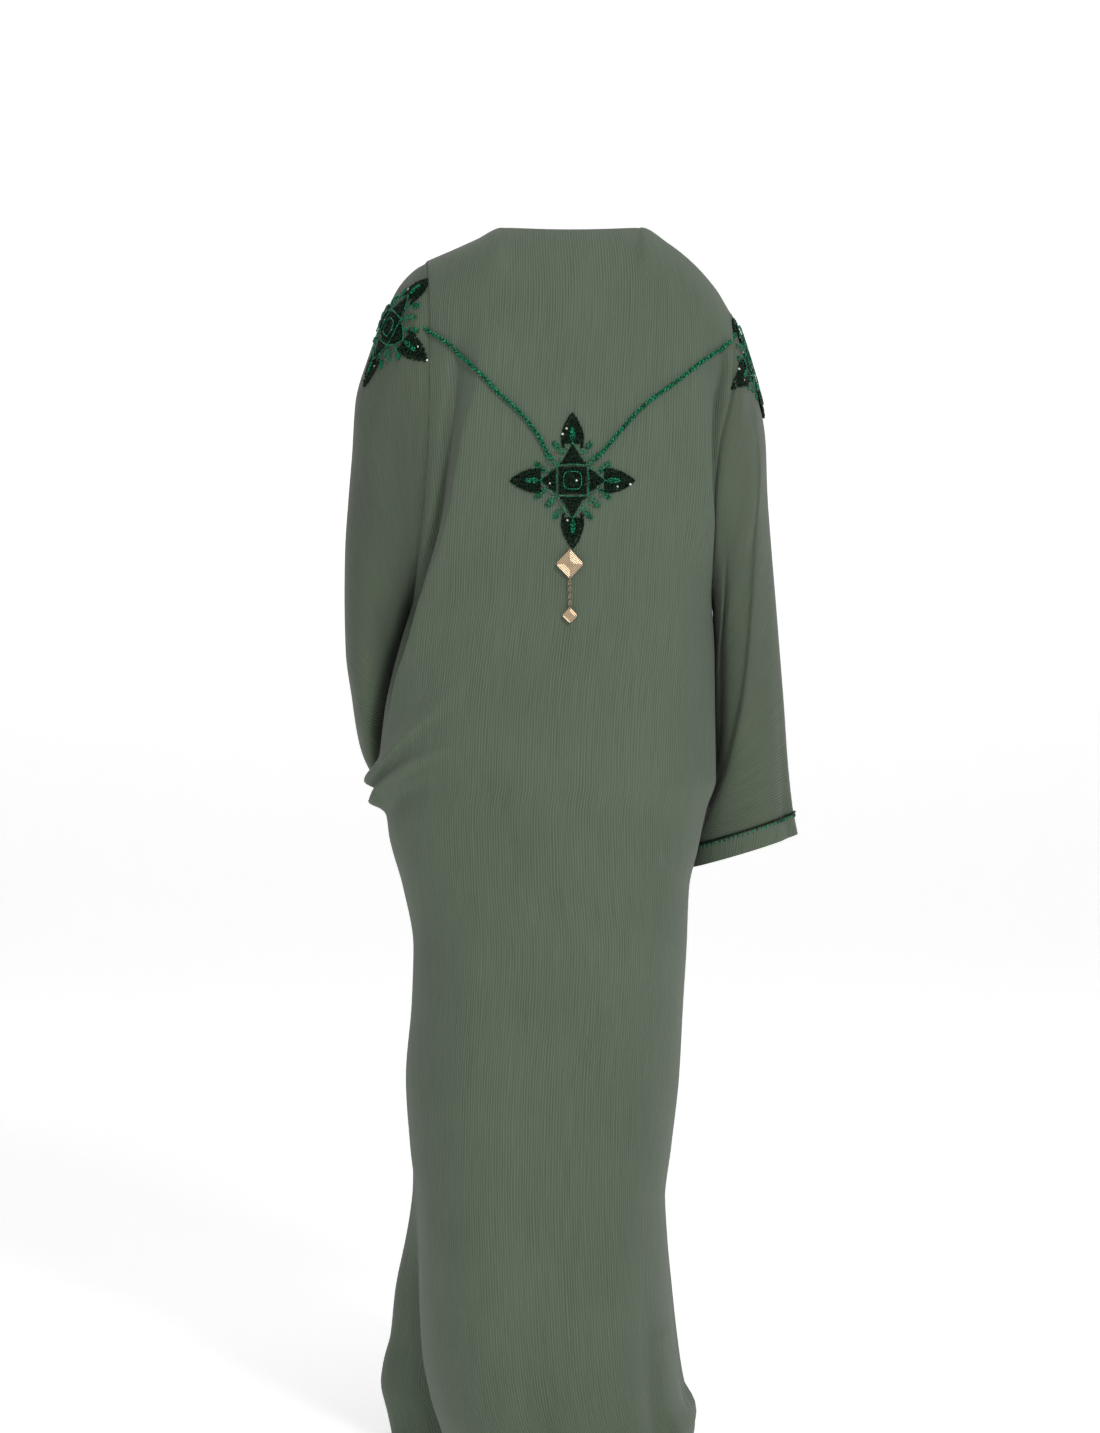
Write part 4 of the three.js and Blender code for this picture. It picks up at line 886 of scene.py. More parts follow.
class Shader:
    """A material's nodes, written as expressions."""

    def __init__(self, name: str, **fixed: float | tuple[float, ...]) -> None:
        """Make a material with one Principled BSDF and set its fixed sockets.

        Args:
            name: The material's name.
            fixed: Socket names with underscores for spaces, and their values.
        """
        self.material = bpy.data.materials.new(name)
        self.material.use_nodes = True
        self.tree = self.material.node_tree
        self.surface = self.tree.nodes["Principled BSDF"]
        for key, value in fixed.items():
            self.surface.inputs[key.replace("_", " ")].default_value = value

    def node(self, kind: str, settings: dict | None = None, inputs: dict | None = None) -> bpy.types.Node:
        """Add any node.

        Args:
            kind: The node's type, without its ShaderNode prefix.
            settings: Properties set first, such as an operation. A ramp's stops go under "stops".
            inputs: Socket names or numbers, with a value, a Number or a socket.

        Returns:
            The node.
        """
        made = self.tree.nodes.new("ShaderNode" + kind)
        for key, value in (settings or {}).items():
            if key == "stops":
                ramp = made.color_ramp
                while len(ramp.elements) < len(value):
                    ramp.elements.new(0.5)
                for element, (place, colour) in zip(ramp.elements, value):
                    element.position, element.color = place, colour
            else:
                setattr(made, key, value)
        for key, value in (inputs or {}).items():
            if isinstance(value, Number):
                value = value.socket
            if isinstance(value, bpy.types.NodeSocket):
                self.tree.links.new(value, made.inputs[key])
            else:
                made.inputs[key].default_value = value
        return made

    def math(self, operation: str, *values: "Number | float") -> Number:
        """Add a Math node on one, two or three values."""
        made = self.node("Math", {"operation": operation}, dict(enumerate(values)))
        return Number(self, made.outputs[0])

    def split(self, vector: bpy.types.NodeSocket) -> tuple[Number, ...]:
        """Split a vector in its three numbers."""
        made = self.node("SeparateXYZ", inputs={0: vector})
        return tuple(Number(self, made.outputs[i]) for i in range(3))

    def join(self, *values: "Number | float") -> bpy.types.NodeSocket:
        """Join three numbers to a vector."""
        return self.node("CombineXYZ", inputs=dict(enumerate(values))).outputs[0]

    def place(self) -> bpy.types.NodeSocket:
        """The place on the object, in metres."""
        return self.node("TexCoord").outputs["Object"]

    def cloth(self) -> bpy.types.NodeSocket:
        """The piece's own cloth coordinates, in metres."""
        return self.node("UVMap", {"uv_map": "cloth"}).outputs[0]

    def noise(self, vector: bpy.types.NodeSocket, scale: float, detail: float = 2, rough: float = 0.5) -> Number:
        """A noise from 0 to 1 at a scale in turns a metre."""
        sockets = {"Vector": vector, "Scale": scale, "Detail": detail, "Roughness": rough}
        return Number(self, self.node("TexNoise", inputs=sockets).outputs[0])

    def blend(self, share: Number, low: tuple[float, ...], high: tuple[float, ...]) -> bpy.types.NodeSocket:
        """Mix two colours by a share."""
        made = self.node("Mix", {"data_type": "RGBA"}, {0: share, 6: low, 7: high})
        return made.outputs[2]

    def bump(self, height: Number, distance: float, strength: float) -> None:
        """Feed a height to the surface's normal through a Bump node."""
        sockets = {"Height": height, "Distance": distance, "Strength": strength}
        self.feed("Normal", self.node("Bump", inputs=sockets).outputs[0])

    def feed(self, name: str, value: "Number | bpy.types.NodeSocket") -> None:
        """Link a value to one of the surface's sockets."""
        self.tree.links.new(value.socket if isinstance(value, Number) else value, self.surface.inputs[name])


def srgb(red: float, green: float, blue: float) -> tuple[float, float, float, float]:
    """A colour given from 0 to 255 as the eye sees it, as a linear colour.

    Args:
        red: The red.
        green: The green.
        blue: The blue.

    Returns:
        The linear colour, opaque.
    """
    values = np.array([red, green, blue]) / 255
    linear = np.where(values <= 0.04045, values / 12.92, ((values + 0.055) / 1.055) ** 2.4)
    return (*map(float, linear), 1.0)


@dataclass(frozen=True)
class Crepe:
    """Crinkled crepe: fine, uneven pleats along the cloth's grain, with a soft matt sheen."""

    name: str = "crepe"
    dark: tuple[float, float, float, float] = srgb(70, 81, 67)
    light: tuple[float, float, float, float] = srgb(97, 110, 93)
    pitch: float = 0.0031
    run: float = 0.09

    def build(self) -> bpy.types.Material:
        """A wave across the grain, put out of step by noise, gives the pleats, whose valleys are also painted darker
        as shade; a broad noise mottles the dye.

        Returns:
            The material.
        """
        shader = Shader(self.name, Roughness=0.86, Sheen_Weight=0.12, Sheen_Roughness=0.5, Specular_IOR_Level=0.2)
        across, along, _ = shader.split(shader.cloth())
        drift = shader.noise(shader.join(across / 0.02, along / (self.run * 2.8), 0.0), 1.0, 2.0)
        wave = shader.math("SINE", (across / self.pitch + drift * 1.6) * 6.2832) * 0.5 + 0.5
        fine = shader.noise(shader.join(across / (self.pitch * 0.42), along / (self.run * 0.7), 3.0), 1.0, 2.0, 0.6)
        patch = shader.noise(shader.join(across / 0.02, along / (self.run * 1.6), 7.0), 1.0, 1.0)
        pleat = (wave - 0.5) * patch + fine * 0.75 + 0.125
        broad = shader.noise(shader.place(), 7.0, 2.0)
        # The pleat height also darkens the colour in the crinkles' valleys: painted shade beside the bump. The broad
        # noise is the dye's own mottling.
        shade = pleat + (broad - 0.5) * 0.4
        shader.feed("Base Color", shader.blend(shade, self.dark, self.light))
        shader.feed("Roughness", 0.92 - pleat * 0.14)
        shader.bump(pleat, 0.0011, 0.6)
        return shader.material


@dataclass(frozen=True)
class Glass:
    """Glossy glass beads whose colour and gloss change from bead to bead."""

    name: str
    dark: tuple[float, float, float, float]
    light: tuple[float, float, float, float]
    roughness: float = 0.12
    bend: float = 1.33

    def build(self) -> bpy.types.Material:
        """A fine noise over the place gives each bead its own shade.

        Returns:
            The material.
        """
        shader = Shader(self.name, IOR=self.bend)
        each = shader.noise(shader.place(), 420.0, 0.0)
        shade = (each - 0.5) * 2.6 + 0.4
        shader.feed("Base Color", shader.blend(shade, self.dark, self.light))
        shader.feed("Roughness", self.roughness + abs(each - 0.5) * 0.2)
        return shader.material


@dataclass(frozen=True)
class Gilt:
    """Satin champagne gold plate, brushed, with nested squares on their corner and a fine hatching."""

    light: tuple[float, float, float, float] = srgb(226, 203, 172)
    dark: tuple[float, float, float, float] = srgb(112, 88, 62)
    middle: tuple[float, float] | None = None
    step: float = 0.0027

    def build(self) -> bpy.types.Material:
        """The distance from the middle, right and up added together, gives the nested squares.

        Returns:
            The material.
        """
        shader = Shader("gilt" if self.middle is None else f"gilt_{abs(self.middle[1]):.0f}", Metallic=1.0)
        place = shader.place()
        x, _, z = shader.split(place)
        grain = shader.noise(place, 900.0, 3.0, 0.7)
        shade = grain * 0.6 + 0.2
        height = grain * 0.25
        if self.middle is not None:
            right = x - self.middle[0] * MM
            up = z - self.middle[1] * MM
            reach = abs(right) + abs(up)
            ring = abs(shader.math("FRACT", reach / self.step) - 0.5) * 2
            hatch = abs(shader.math("FRACT", (right - up) / (self.step * 0.5)) - 0.5) * 2
            inside = shader.math("LESS_THAN", reach, self.step * 2)
            cut = ring * (1 - inside) + hatch * inside
            height = height + cut * 0.8
            shade = shade * 0.25 + cut * 0.7
        shader.feed("Base Color", shader.blend(shade, self.dark, self.light))
        shader.feed("Roughness", 0.46 - grain * 0.16)
        shader.bump(height, 0.0004, 0.6)
        return shader.material


class Finishes:
    """The materials of the garment, made once."""

    def __init__(self) -> None:
        """Build each finish."""
        self.crepe = Crepe().build()
        # The sleeves get a darker copy of the same crepe: painted shade for sleeves that hang back from the lights.
        self.crepe_sleeve_painted_shade = Crepe("crepe_sleeve_painted_shade", srgb(66, 76, 62), srgb(91, 103, 86)).build()
        self.jet = Glass("bead_jet", srgb(3, 12, 7), srgb(16, 40, 24), 0.16, 1.2).build()
        self.emerald = Glass("bead_emerald", srgb(0, 58, 40), srgb(20, 138, 96), 0.24, 1.28).build()
        # Near-white glossy beads that stand for the glints on the dark beads: painted highlights.
        self.clear = Glass("bead_painted_glint", srgb(200, 205, 190), srgb(250, 250, 240), 0.05, 1.5).build()
        self.gilt = Gilt().build()


def dress(piece: bpy.types.Object, material: bpy.types.Material, body: str, slot: str, *nodes: str) -> None:
    """Give a piece its material, body and the solids that it stands for.

    Args:
        piece: The piece.
        material: Its material.
        body: The body that it rides on.
        slot: Not used.
        nodes: The solids that it replaces.
    """
    piece.data.materials.clear()
    piece.data.materials.append(material)
    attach(piece, body)
    if nodes:
        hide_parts(*nodes)
    LOG.info("%s: %d faces", piece.name, len(piece.data.polygons))


@dataclass
class Cloth:
    """The seven pieces of cloth: the back, two fronts, two sleeves and two cuff bands."""

    body: Body
    left: Sleeve
    right: Sleeve
    thickness: float = 1.2
    cuff_thickness: float = 1.8
    back_columns: int = 133
    front_columns: int = 69
    sleeve_turns: int = 132
    sleeve_rows: int = 132
    cuff_rows: int = 12

    def rows(self) -> Array:
        """Rows from hem to shoulder, closest where the hip gathers.

        Returns:
            The rows' numbers.
        """
        low = np.linspace(self.body.hem, -730, 118, endpoint=False)
        hip = np.linspace(-730, -560, 72, endpoint=False)
        high = np.linspace(-560, self.body.underarm, 26, endpoint=False)
        z = np.concatenate([low, hip, high])
        below = (z - self.body.hem) / (self.body.underarm - self.body.hem)
        return np.concatenate([below, 1 + np.linspace(0, 1, 73)])

    def make_back(self) -> bpy.types.Object:
        """The back, from side seam to side seam and hem to shoulder and neck.

        Returns:
            The piece.
        """
        share = np.linspace(-1, 1, self.back_columns)
        columns = share * 0.55 + 0.45 * np.sin(share * np.pi / 2)
        u, v = np.meshgrid(columns, self.rows())
        points = self.body.point(u, v, Face.BACK)
        return cloth_wall("back_cloth", points, False, self.thickness, Grain.DOWN, 0.5)

    def make_front(self, side: int) -> bpy.types.Object:
        """A front, from its side seam to its edge past the centre.

        Args:
            side: -1 for the left front and 1 for the right.

        Returns:
            The piece.
        """
        shares = np.linspace(0, 1, self.front_columns)
        share, v = np.meshgrid(shares if side > 0 else shares[::-1], self.rows())
        points = self.body.front_point(side, share, v)
        return cloth_wall(
            "front_right_cloth" if side > 0 else "front_left_cloth", points, False, self.thickness, Grain.DOWN, 0.5
        )

    def make_tube(self, sleeve: Sleeve, cuff: bool) -> bpy.types.Object:
        """A sleeve, or the cuff band that carries it on.

        Args:
            sleeve: The sleeve.
            cuff: Whether to make its cuff band.

        Returns:
            The piece.
        """
        turns = np.arange(self.sleeve_turns) / self.sleeve_turns * 2 * np.pi
        turns = turns if sleeve.side > 0 else -turns
        shares = np.linspace(1, 2, self.cuff_rows) if cuff else np.linspace(0, 1, self.sleeve_rows)
        turn, share = np.meshgrid(turns, shares)
        points = sleeve.point(share, turn)
        name = ("cuff" if cuff else "sleeve") + ("_right" if sleeve.side > 0 else "_left") + "_cloth"
        grain = Grain.DOWN if cuff else Grain.ACROSS
        return cloth_wall(name, points, True, self.cuff_thickness if cuff else self.thickness, grain, 0)

    def build(self, finishes: Finishes) -> None:
        back = self.make_back()
        dress(back, finishes.crepe, "garment", "crepe", "back_panel")
        for side, node in ((-1, "front_left"), (1, "front_right")):
            front = self.make_front(side)
            dress(front, finishes.crepe, "garment", "crepe", node)
        for sleeve, word in ((self.left, "left"), (self.right, "right")):
            tube = self.make_tube(sleeve, False)
            # The darker crepe copy paints the sleeves' shade.
            dress(tube, finishes.crepe_sleeve_painted_shade, "garment", "crepe", "sleeve_" + word)
            band = self.make_tube(sleeve, True)
            dress(band, finishes.crepe, "garment", "crepe", "cuff_" + word)


@dataclass(frozen=True)
class Petal:
    """One arm of a star: a leaf-shaped petal beyond a triangle, along one axis of the star."""

    apex: float
    tip: float
    half: float
    overlap: float = 6.0

    def half_width(self, along: Array) -> Array:
        """Half the petal's width at a distance from the star's centre: a sine drawn towards the base.

        Args:
            along: Distances from the centre, along the petal's axis.

        Returns:
            The half widths, 0 past either end.
        """
        base = self.apex - self.overlap
        s = (along - base) / (self.tip - base)
        inside = np.clip(s, 0, 1)
        return np.where((s < 0) | (s > 1), 0.0, self.half * np.sin(np.pi * (0.2 + 0.8 * inside) ** 0.8) ** 0.8)

    def outline(self) -> Array:
        """The petal's edge, up one side and down the other, as (across, along).

        Returns:
            The flat points.
        """
        along = self.tip - (self.tip - self.apex + self.overlap) * np.linspace(0, 1, 60) ** 1.4
        across = self.half_width(along)
        return np.concatenate([stack(across, along)[::-1], stack(-across, along)[1:]])


@dataclass
class Star:
    """A beaded star: four petals of dark beads, a core of triangles round a ring, and leaf sprigs in the corners."""

    patch: Patch
    centre: tuple[float, float]
    turned: float
    name: str
    upright: Petal = Petal(43.5, 77.0, 12.0)
    level: Petal = Petal(37.0, 71.0, 13.0)
    square: float = 17.0
    ring: float = 10.2
    bead: float = 1.6
    bead_half: float = 1.45
    glint_half: float = 1.3
    bugle: float = 0.78
    bugle_half: float = 1.6
    bugle_pitch: float = 3.3
    rest: float = 0.9
    core_reach: float = 40
    stem_reach: float = 4

    def strung_line(self, line: Array, pitch: float) -> tuple[Array, Array]:
        """Beads at even steps along a flat line.

        Args:
            line: The line's points.
            pitch: The step from bead to bead.

        Returns:
            The beads' centres and their directions.
        """
        gone = np.concatenate([[0], np.cumsum(np.linalg.norm(np.diff(line, axis=0), axis=1))])
        count = max(1, round(gone[-1] / pitch))
        places = (np.arange(count) + 0.5) / count * gone[-1]
        read = [stack(*[np.interp(places + d, gone, line[:, k]) for k in (0, 1)]) for d in (-0.4, 0, 0.4)]
        return read[1], read[2] - read[0]

    def arms(self) -> list[tuple[Petal, Array]]:
        """Each petal with the matrix that turns (across, along) to (right, up).

        Returns:
            The pairs.
        """
        turns = [np.array([[0, 1], [-1, 0]]), np.array([[0, -1], [1, 0]])]
        upright = [np.eye(2), -np.eye(2)]
        return [(self.upright, turn) for turn in upright] + [(self.level, turn) for turn in turns]

    def dark_beads(self) -> Array:
        """Dark beads: a row round each petal, a loose lattice inside it, the core's triangles and the middle.

        Returns:
            Flat points, one row each.
        """
        steps = np.arange(-40, 41)
        lattice = stack(steps[None] * 2.3 + (steps[:, None] % 2) * 1.15, steps[:, None] * 2.0).reshape(-1, 2)
        kept = []
        for petal, turn in self.arms():
            kept.append(self.strung_line(petal.outline(), 3.0)[0] @ turn)
            across, along = np.abs(lattice[:, 0]), lattice[:, 1]
            inside = across < petal.half_width(along) - 2.2
            base = (self.square + 1.2 < along) & (along < petal.apex - 1.0)
            core = base & (across < (petal.apex - along) * self.square / (petal.apex - self.square) - 1.2)
            kept.append(lattice[inside & (along > petal.apex - 1.0) | core] @ turn)
        kept.append(lattice[np.abs(lattice).max(1) < self.square - 1.8])
        beads = np.concatenate(kept)
        return beads + np.random.default_rng(7).normal(0, 0.22, beads.shape)

    def sprig(self, root: Array, heading: Array, length: float, width: float) -> list[Array]:
        """A leaf sprig: a stem and pairs of short strokes that lean away from it.

        Args:
            root: Where the stem starts.
            heading: Its direction.
            length: Its length.
            width: How far the strokes lean out, as a share of the length.

        Returns:
            The flat lines.
        """
        heading = unit(heading)
        side = np.array([heading[1], -heading[0]])
        lines = [np.array([root, root + heading * length])]
        for step, reach in ((0.14, 0.36), (0.38, 0.36), (0.62, 0.32)):
            foot = root + heading * length * step
            for way in (-1, 1):
                tip = foot + heading * length * reach + side * way * length * width * (1.2 - step)
                lines.append(np.array([foot + side * way * 1.2, tip]))
        return lines

    def green_lines(self) -> list[Array]:
        """The emerald lines: the core's outline, the square, the ring, the petals' stems and the sprigs.

        Returns:
            One array of points for each line.
        """
        t = np.linspace(0, 1, 25)
        lines = []
        for petal, turn in self.arms():
            bow = 2.4 * np.sin(np.pi * t)
            edge = stack(lerp(-self.square, 0.0, t) - bow * 0.6, lerp(self.square, petal.apex, t) + bow * 0.6)
            lines += [edge @ turn, (edge * [-1, 1]) @ turn]
            lines.append(stack(lerp(-self.square, self.square, t), self.square + 1.6 * np.sin(np.pi * t)) @ turn)
            lines += [line @ turn for line in self.sprig(np.array([0.0, petal.apex]), np.array([0.0, 1.0]), 18, 0.16)]
        for right in (-1, 1):
            for up in (-1, 1):
                way = np.array([right, up])
                for root, heading in (((10.5, 31.0), (0.66, 0.75)), ((18, 18), (0.7, 0.7)), ((30, 9), (0.75, 0.66))):
                    lines += self.sprig(np.array(root) * way, np.array(heading) * way, 19.0, 0.24)
        angle = np.linspace(0, 2 * np.pi, 49)
        size = self.ring / (np.abs(np.cos(angle)) ** 3.4 + np.abs(np.sin(angle)) ** 3.4) ** (1 / 3.4)
        lines.append(stack(size * np.cos(angle), size * np.sin(angle)))
        return lines

    def lay(self, flat: Array, ahead: Array, stand: Array) -> tuple[Array, Array, Array]:
        """Lay flat beads on the cloth, dropping those past the armhole seam.

        Args:
            flat: The beads' flat places.
            ahead: Their flat directions.
            stand: How far their middles stand off the cloth.

        Returns:
            The centres, axes and outward directions.
        """
        a, b = self.patch.spread(flat, self.centre, self.turned)
        near_a, near_b = self.patch.spread(flat + unit(ahead) * 0.5, self.centre, self.turned)
        kept = a > self.patch.seam
        point = self.patch.at(a, b)
        normal = self.patch.frame(a, b)[2]
        axis = self.patch.at(near_a, near_b) - point
        return (point + normal * stand[:, None])[kept], axis[kept], normal[kept]

    def build(self, finishes: "Finishes", node: str) -> None:
        """String the dark beads, a few near-white ones among them as painted glints, and the emerald lines over them.

        Args:
            finishes: The materials.
            node: The solid that the star stands for.
        """
        flat = self.dark_beads()
        chance = np.random.default_rng(11)
        way = chance.uniform(0, np.pi, len(flat))
        stand = self.rest + self.bead + chance.uniform(-0.8, 0.5, len(flat))
        centres, axes, outs = self.lay(flat, stack(np.cos(way), np.sin(way)), stand)
        # Every 140th bead is made near-white: painted glints among the dark beads.
        clear = np.zeros(len(centres), dtype=bool)
        clear[23::140] = True
        shape = BeadShape()
        for word, kept, half, glass in (
            ("_dark_beads", ~clear, self.bead_half, finishes.jet),
            ("_glints", clear, self.glint_half, finishes.clear),
        ):
            beads = shape.strung(self.name + word, centres[kept], axes[kept], outs[kept], half, self.bead)
            dress(beads, glass, "garment", "beads", node)
        strung = [self.strung_line(line, self.bugle_pitch) for line in self.green_lines()]
        flat = np.concatenate([centre for centre, _ in strung])
        ahead = np.concatenate([direction for _, direction in strung])
        over = (np.hypot(*flat.T) < self.core_reach) | (np.minimum(*np.abs(flat.T)) < self.stem_reach)
        stand = np.where(over, self.rest + self.bead * 2 + 0.5, self.rest + self.bugle)
        centres, axes, outs = self.lay(flat, ahead, stand)
        lines = shape.strung(self.name + "_green_beads", centres, axes, outs, self.bugle_half, self.bugle)
        dress(lines, finishes.emerald, "garment", "cord", node)


@dataclass
class Cord:
    """A cord of strands of bugle beads twisted round each other, sewn along the back."""

    patch: Patch
    path: Path
    name: str
    strands: int = 3
    strand: float = 1.25
    orbit: float = 1.65
    turn_length: float = 17.0
    half: float = 2.2
    pitch: float = 4.4
    rest: float = 0.7

    def build(self, finishes: Finishes) -> None:
        """Follow the path over the back, then wind the strands round it."""
        rough = np.array(self.path)
        gone = np.concatenate([[0], np.cumsum(np.linalg.norm(np.diff(rough, axis=0), axis=1))])
        places = np.linspace(0, gone[-1], 120)
        x, z = (Table("s value", tuple(zip(gone, rough[:, k]))).read("value", places) for k in (0, 1))
        a, b = self.patch.place_at(x, z, x / 190, np.full_like(x, 1.4))
        line = self.patch.at(a, b)
        normal = self.patch.frame(a, b)[2]
        length = np.concatenate([[0], np.cumsum(np.linalg.norm(np.diff(line, axis=0), axis=1))])
        ahead = unit(np.gradient(line, axis=0))
        side = unit(np.cross(ahead, normal))
        core = line + normal * (self.rest + self.strand + self.orbit)
        centres, axes, outs = [], [], []
        for phase in np.arange(self.strands) / self.strands * 2 * np.pi:
            s = np.arange(self.pitch * (0.3 + phase / 20), length[-1], self.pitch)
            wound = [self.strand_at(s + d, phase, length, core, side, normal) for d in (-0.4, 0, 0.4)]
            centres.append(wound[1])
            axes.append(wound[2] - wound[0])
            outs.append(stack(*[np.interp(s, length, normal[:, k]) for k in range(3)]))
        strung = (np.concatenate(part) for part in (centres, axes, outs))
        piece = BeadShape().strung(self.name + "_beads", *strung, self.half, self.strand)
        dress(piece, finishes.emerald, "garment", "cord", self.name)

    def strand_at(
        self, s: Array, phase: float, length: Array, core: Array, side: Array, normal: Array
    ) -> Array:
        """A point of a strand: the core moved round a circle that turns along the cord.

        Args:
            s: The distance along the cord.
            phase: Where on the circle the strand starts.
            length: The distance at each point of the core.
            core: The cord's middle line.
            side: Its sideways direction at each point.
            normal: Its outward direction at each point.

        Returns:
            The points.
        """
        angle = 2 * np.pi * s / self.turn_length + phase
        read = [stack(*[np.interp(s, length, part[:, k]) for k in range(3)]) for part in (core, side, normal)]
        return read[0] + self.orbit * (np.cos(angle)[:, None] * read[1] + np.sin(angle)[:, None] * read[2])


@dataclass
class CuffBeads:
    """Two rows of beads round a cuff seam: dark ones side by side, and green bugles further apart below them."""

    sleeve: Sleeve
    name: str
    dark_share: float = 0.992
    dark_radius: float = 1.5
    dark_half: float = 1.35
    dark_pitch: float = 3.1
    green_share: float = 1.075
    green_radius: float = 0.95
    green_half: float = 1.9
    green_pitch: float = 5.8
    rest: float = 0.9

    def row(self, share: float, radius: float, pitch: float) -> tuple[Array, Array, Array]:
        """Space beads evenly round the sleeve.

        Args:
            share: How far down the sleeve, with 1 at the seam.
            radius: The beads' radius.
            pitch: The step from bead to bead.

        Returns:
            The centres, the directions round the sleeve and the outward directions.
        """
        turn = np.linspace(0, 2 * np.pi, 721)
        ring = self.sleeve.point(np.full_like(turn, share), turn)
        inner = self.sleeve.point(np.full_like(turn, share - 0.01), turn)
        gone = np.concatenate([[0], np.cumsum(np.linalg.norm(np.diff(ring, axis=0), axis=1))])
        count = round(gone[-1] / pitch)
        angle = np.interp((np.arange(count) + 0.5) / count * gone[-1], gone, turn)
        ahead = unit(np.gradient(ring, axis=0))
        out = unit(np.cross(ahead, ring - inner)) * -1
        out = out * np.sign(np.sum(out * (ring - ring.mean(0)), -1, keepdims=True))
        read = [stack(*[np.interp(angle, turn, part[:, k]) for k in range(3)]) for part in (ring, ahead, out)]
        return read[0] + read[2] * (self.rest + radius), read[1], read[2]

    def build(self, finishes: Finishes) -> None:
        """String the dark beads just above the seam and the green ones, square to it, just below."""
        centre, ahead, out = self.row(self.dark_share, self.dark_radius, self.dark_pitch)
        piece = BeadShape().strung(self.name + "_dark", centre, ahead, out, self.dark_half, self.dark_radius)
        dress(piece, finishes.jet, "garment", "beads", self.name)
        centre, ahead, out = self.row(self.green_share, self.green_radius, self.green_pitch)
        down = np.cross(ahead, out)
        piece = BeadShape().strung(self.name + "_green", centre, down, out, self.green_half, self.green_radius)
        dress(piece, finishes.emerald, "garment", "beads", self.name)


@dataclass(frozen=True)
class Pendant:
    """The pendant: its solids have the right shape, so they stay and get their metal."""

    plate_middle: tuple[float, float] = (-3.15, -385.7)
    drop_middle: tuple[float, float] = (-3.15, -445.1)

    def build(self, finishes: Finishes) -> None:
        """Dress each ring, link and plate."""
        plates = {"plate": self.plate_middle, "drop": self.drop_middle}
        names = ["sewn_loop", "jump_ring", "lower_ring"] + [f"link_{i}" for i in range(1, 9)]
        for name in names + list(plates):
            metal = finishes.gilt if name in names else Gilt(middle=plates[name]).build()
            self.coat(bpy.data.objects[name], metal)

    def coat(self, solid: bpy.types.Object, metal: bpy.types.Material) -> None:
        """Put a metal in every material slot of a solid.

        Args:
            solid: The solid, an object of the frame.
            metal: The material.
        """
        if not solid.material_slots:
            solid.data.materials.append(metal)
        for held in solid.material_slots:
            held.material = metal
        LOG.info("%s: dressed", solid.name)


@dataclass(frozen=True)
class Studio:
    """A pale floor that sweeps up behind, soft lights and the camera."""

    floor_z: float = -1.436
    camera_at: tuple[float, float, float] = (-0.026, -4.03, -0.561)
    lens: float = 85.0

    def sweep(self) -> None:
        """The floor and backdrop: a flat run, a quarter circle and a straight wall, swept sideways."""
        turn = np.linspace(0, np.pi / 2, 24)
        radius, run = 1.5, 5.0
        y = np.concatenate([[-9.0], run + radius * np.sin(turn), [run + radius]])
        z = np.concatenate([[0.0], radius - radius * np.cos(turn), [9.0]]) + self.floor_z
        x = np.linspace(-9, 9, 5)
        points = stack(*np.broadcast_arrays(x[None], y[:, None], z[:, None])).reshape(-1, 3) / MM
        j, i = np.meshgrid(np.arange(len(y) - 1), np.arange(len(x) - 1), indexing="ij")
        quads = stack(*[(j + b) * len(x) + i + a for b, a in ((0, 0), (0, 1), (1, 1), (1, 0))]).reshape(-1, 4)
        floor = build_mesh("studio_floor", points, quads)
        shader = Shader("studio_paper", Base_Color=(0.9, 0.9, 0.9, 1.0), Roughness=0.9, Emission_Strength=0.52)
        shader.surface.inputs["Emission Color"].default_value = (1.0, 1.0, 1.0, 1.0)
        floor.data.materials.append(shader.material)

    def lamp(self, name: str, place: tuple[float, float, float], size: float, power: float) -> None:
        """A square area light that looks at the middle of the garment.

        Args:
            name: The light's name.
            place: Where it stands.
            size: Its side in metres.
            power: Its power in watts.
        """
        data = bpy.data.lights.new(name, "AREA")
        data.size, data.energy = size, power
        light = bpy.data.objects.new(name, data)
        bpy.context.scene.collection.objects.link(light)
        light.location = place
        aim = np.array([0, 0, -0.7]) - np.array(place)
        light.rotation_euler = aimed(aim)

    def build(self) -> None:
        """Set the floor, the world, the lights and the camera."""
        self.sweep()
        world = bpy.data.worlds.new("studio") if bpy.context.scene.world is None else bpy.context.scene.world
        bpy.context.scene.world = world
        world.use_nodes = True
        world.node_tree.nodes["Background"].inputs[0].default_value = (1, 1, 1, 1)
        world.node_tree.nodes["Background"].inputs[1].default_value = 0.2
        self.lamp("key", (1.5, -3.4, 1.3), 0.7, 78)
        self.lamp("fill", (-1.6, -3.9, 0.2), 2.0, 17)
        self.lamp("top", (0.2, -0.6, 2.4), 1.6, 26)
        data = bpy.data.cameras.new("camera")
        data.lens, data.sensor_width = self.lens, 36.0
        camera = bpy.data.objects.new("camera", data)
        bpy.context.scene.collection.objects.link(camera)
        camera.location = self.camera_at
        camera.rotation_euler = (np.pi / 2, 0, 0)
        bpy.context.scene.camera = camera
        bpy.context.scene.view_settings.view_transform = "Standard"


def aimed(aim: Array) -> tuple[float, float, float]:
    """The Euler angles that turn a light's -Z axis to a direction.

    Args:
        aim: The direction.

    Returns:
        The angles, in radians.
    """
    aim = aim / np.linalg.norm(aim)
    return (float(np.arccos(-aim[2])), 0.0, float(np.arctan2(aim[0], -aim[1])) + np.pi)


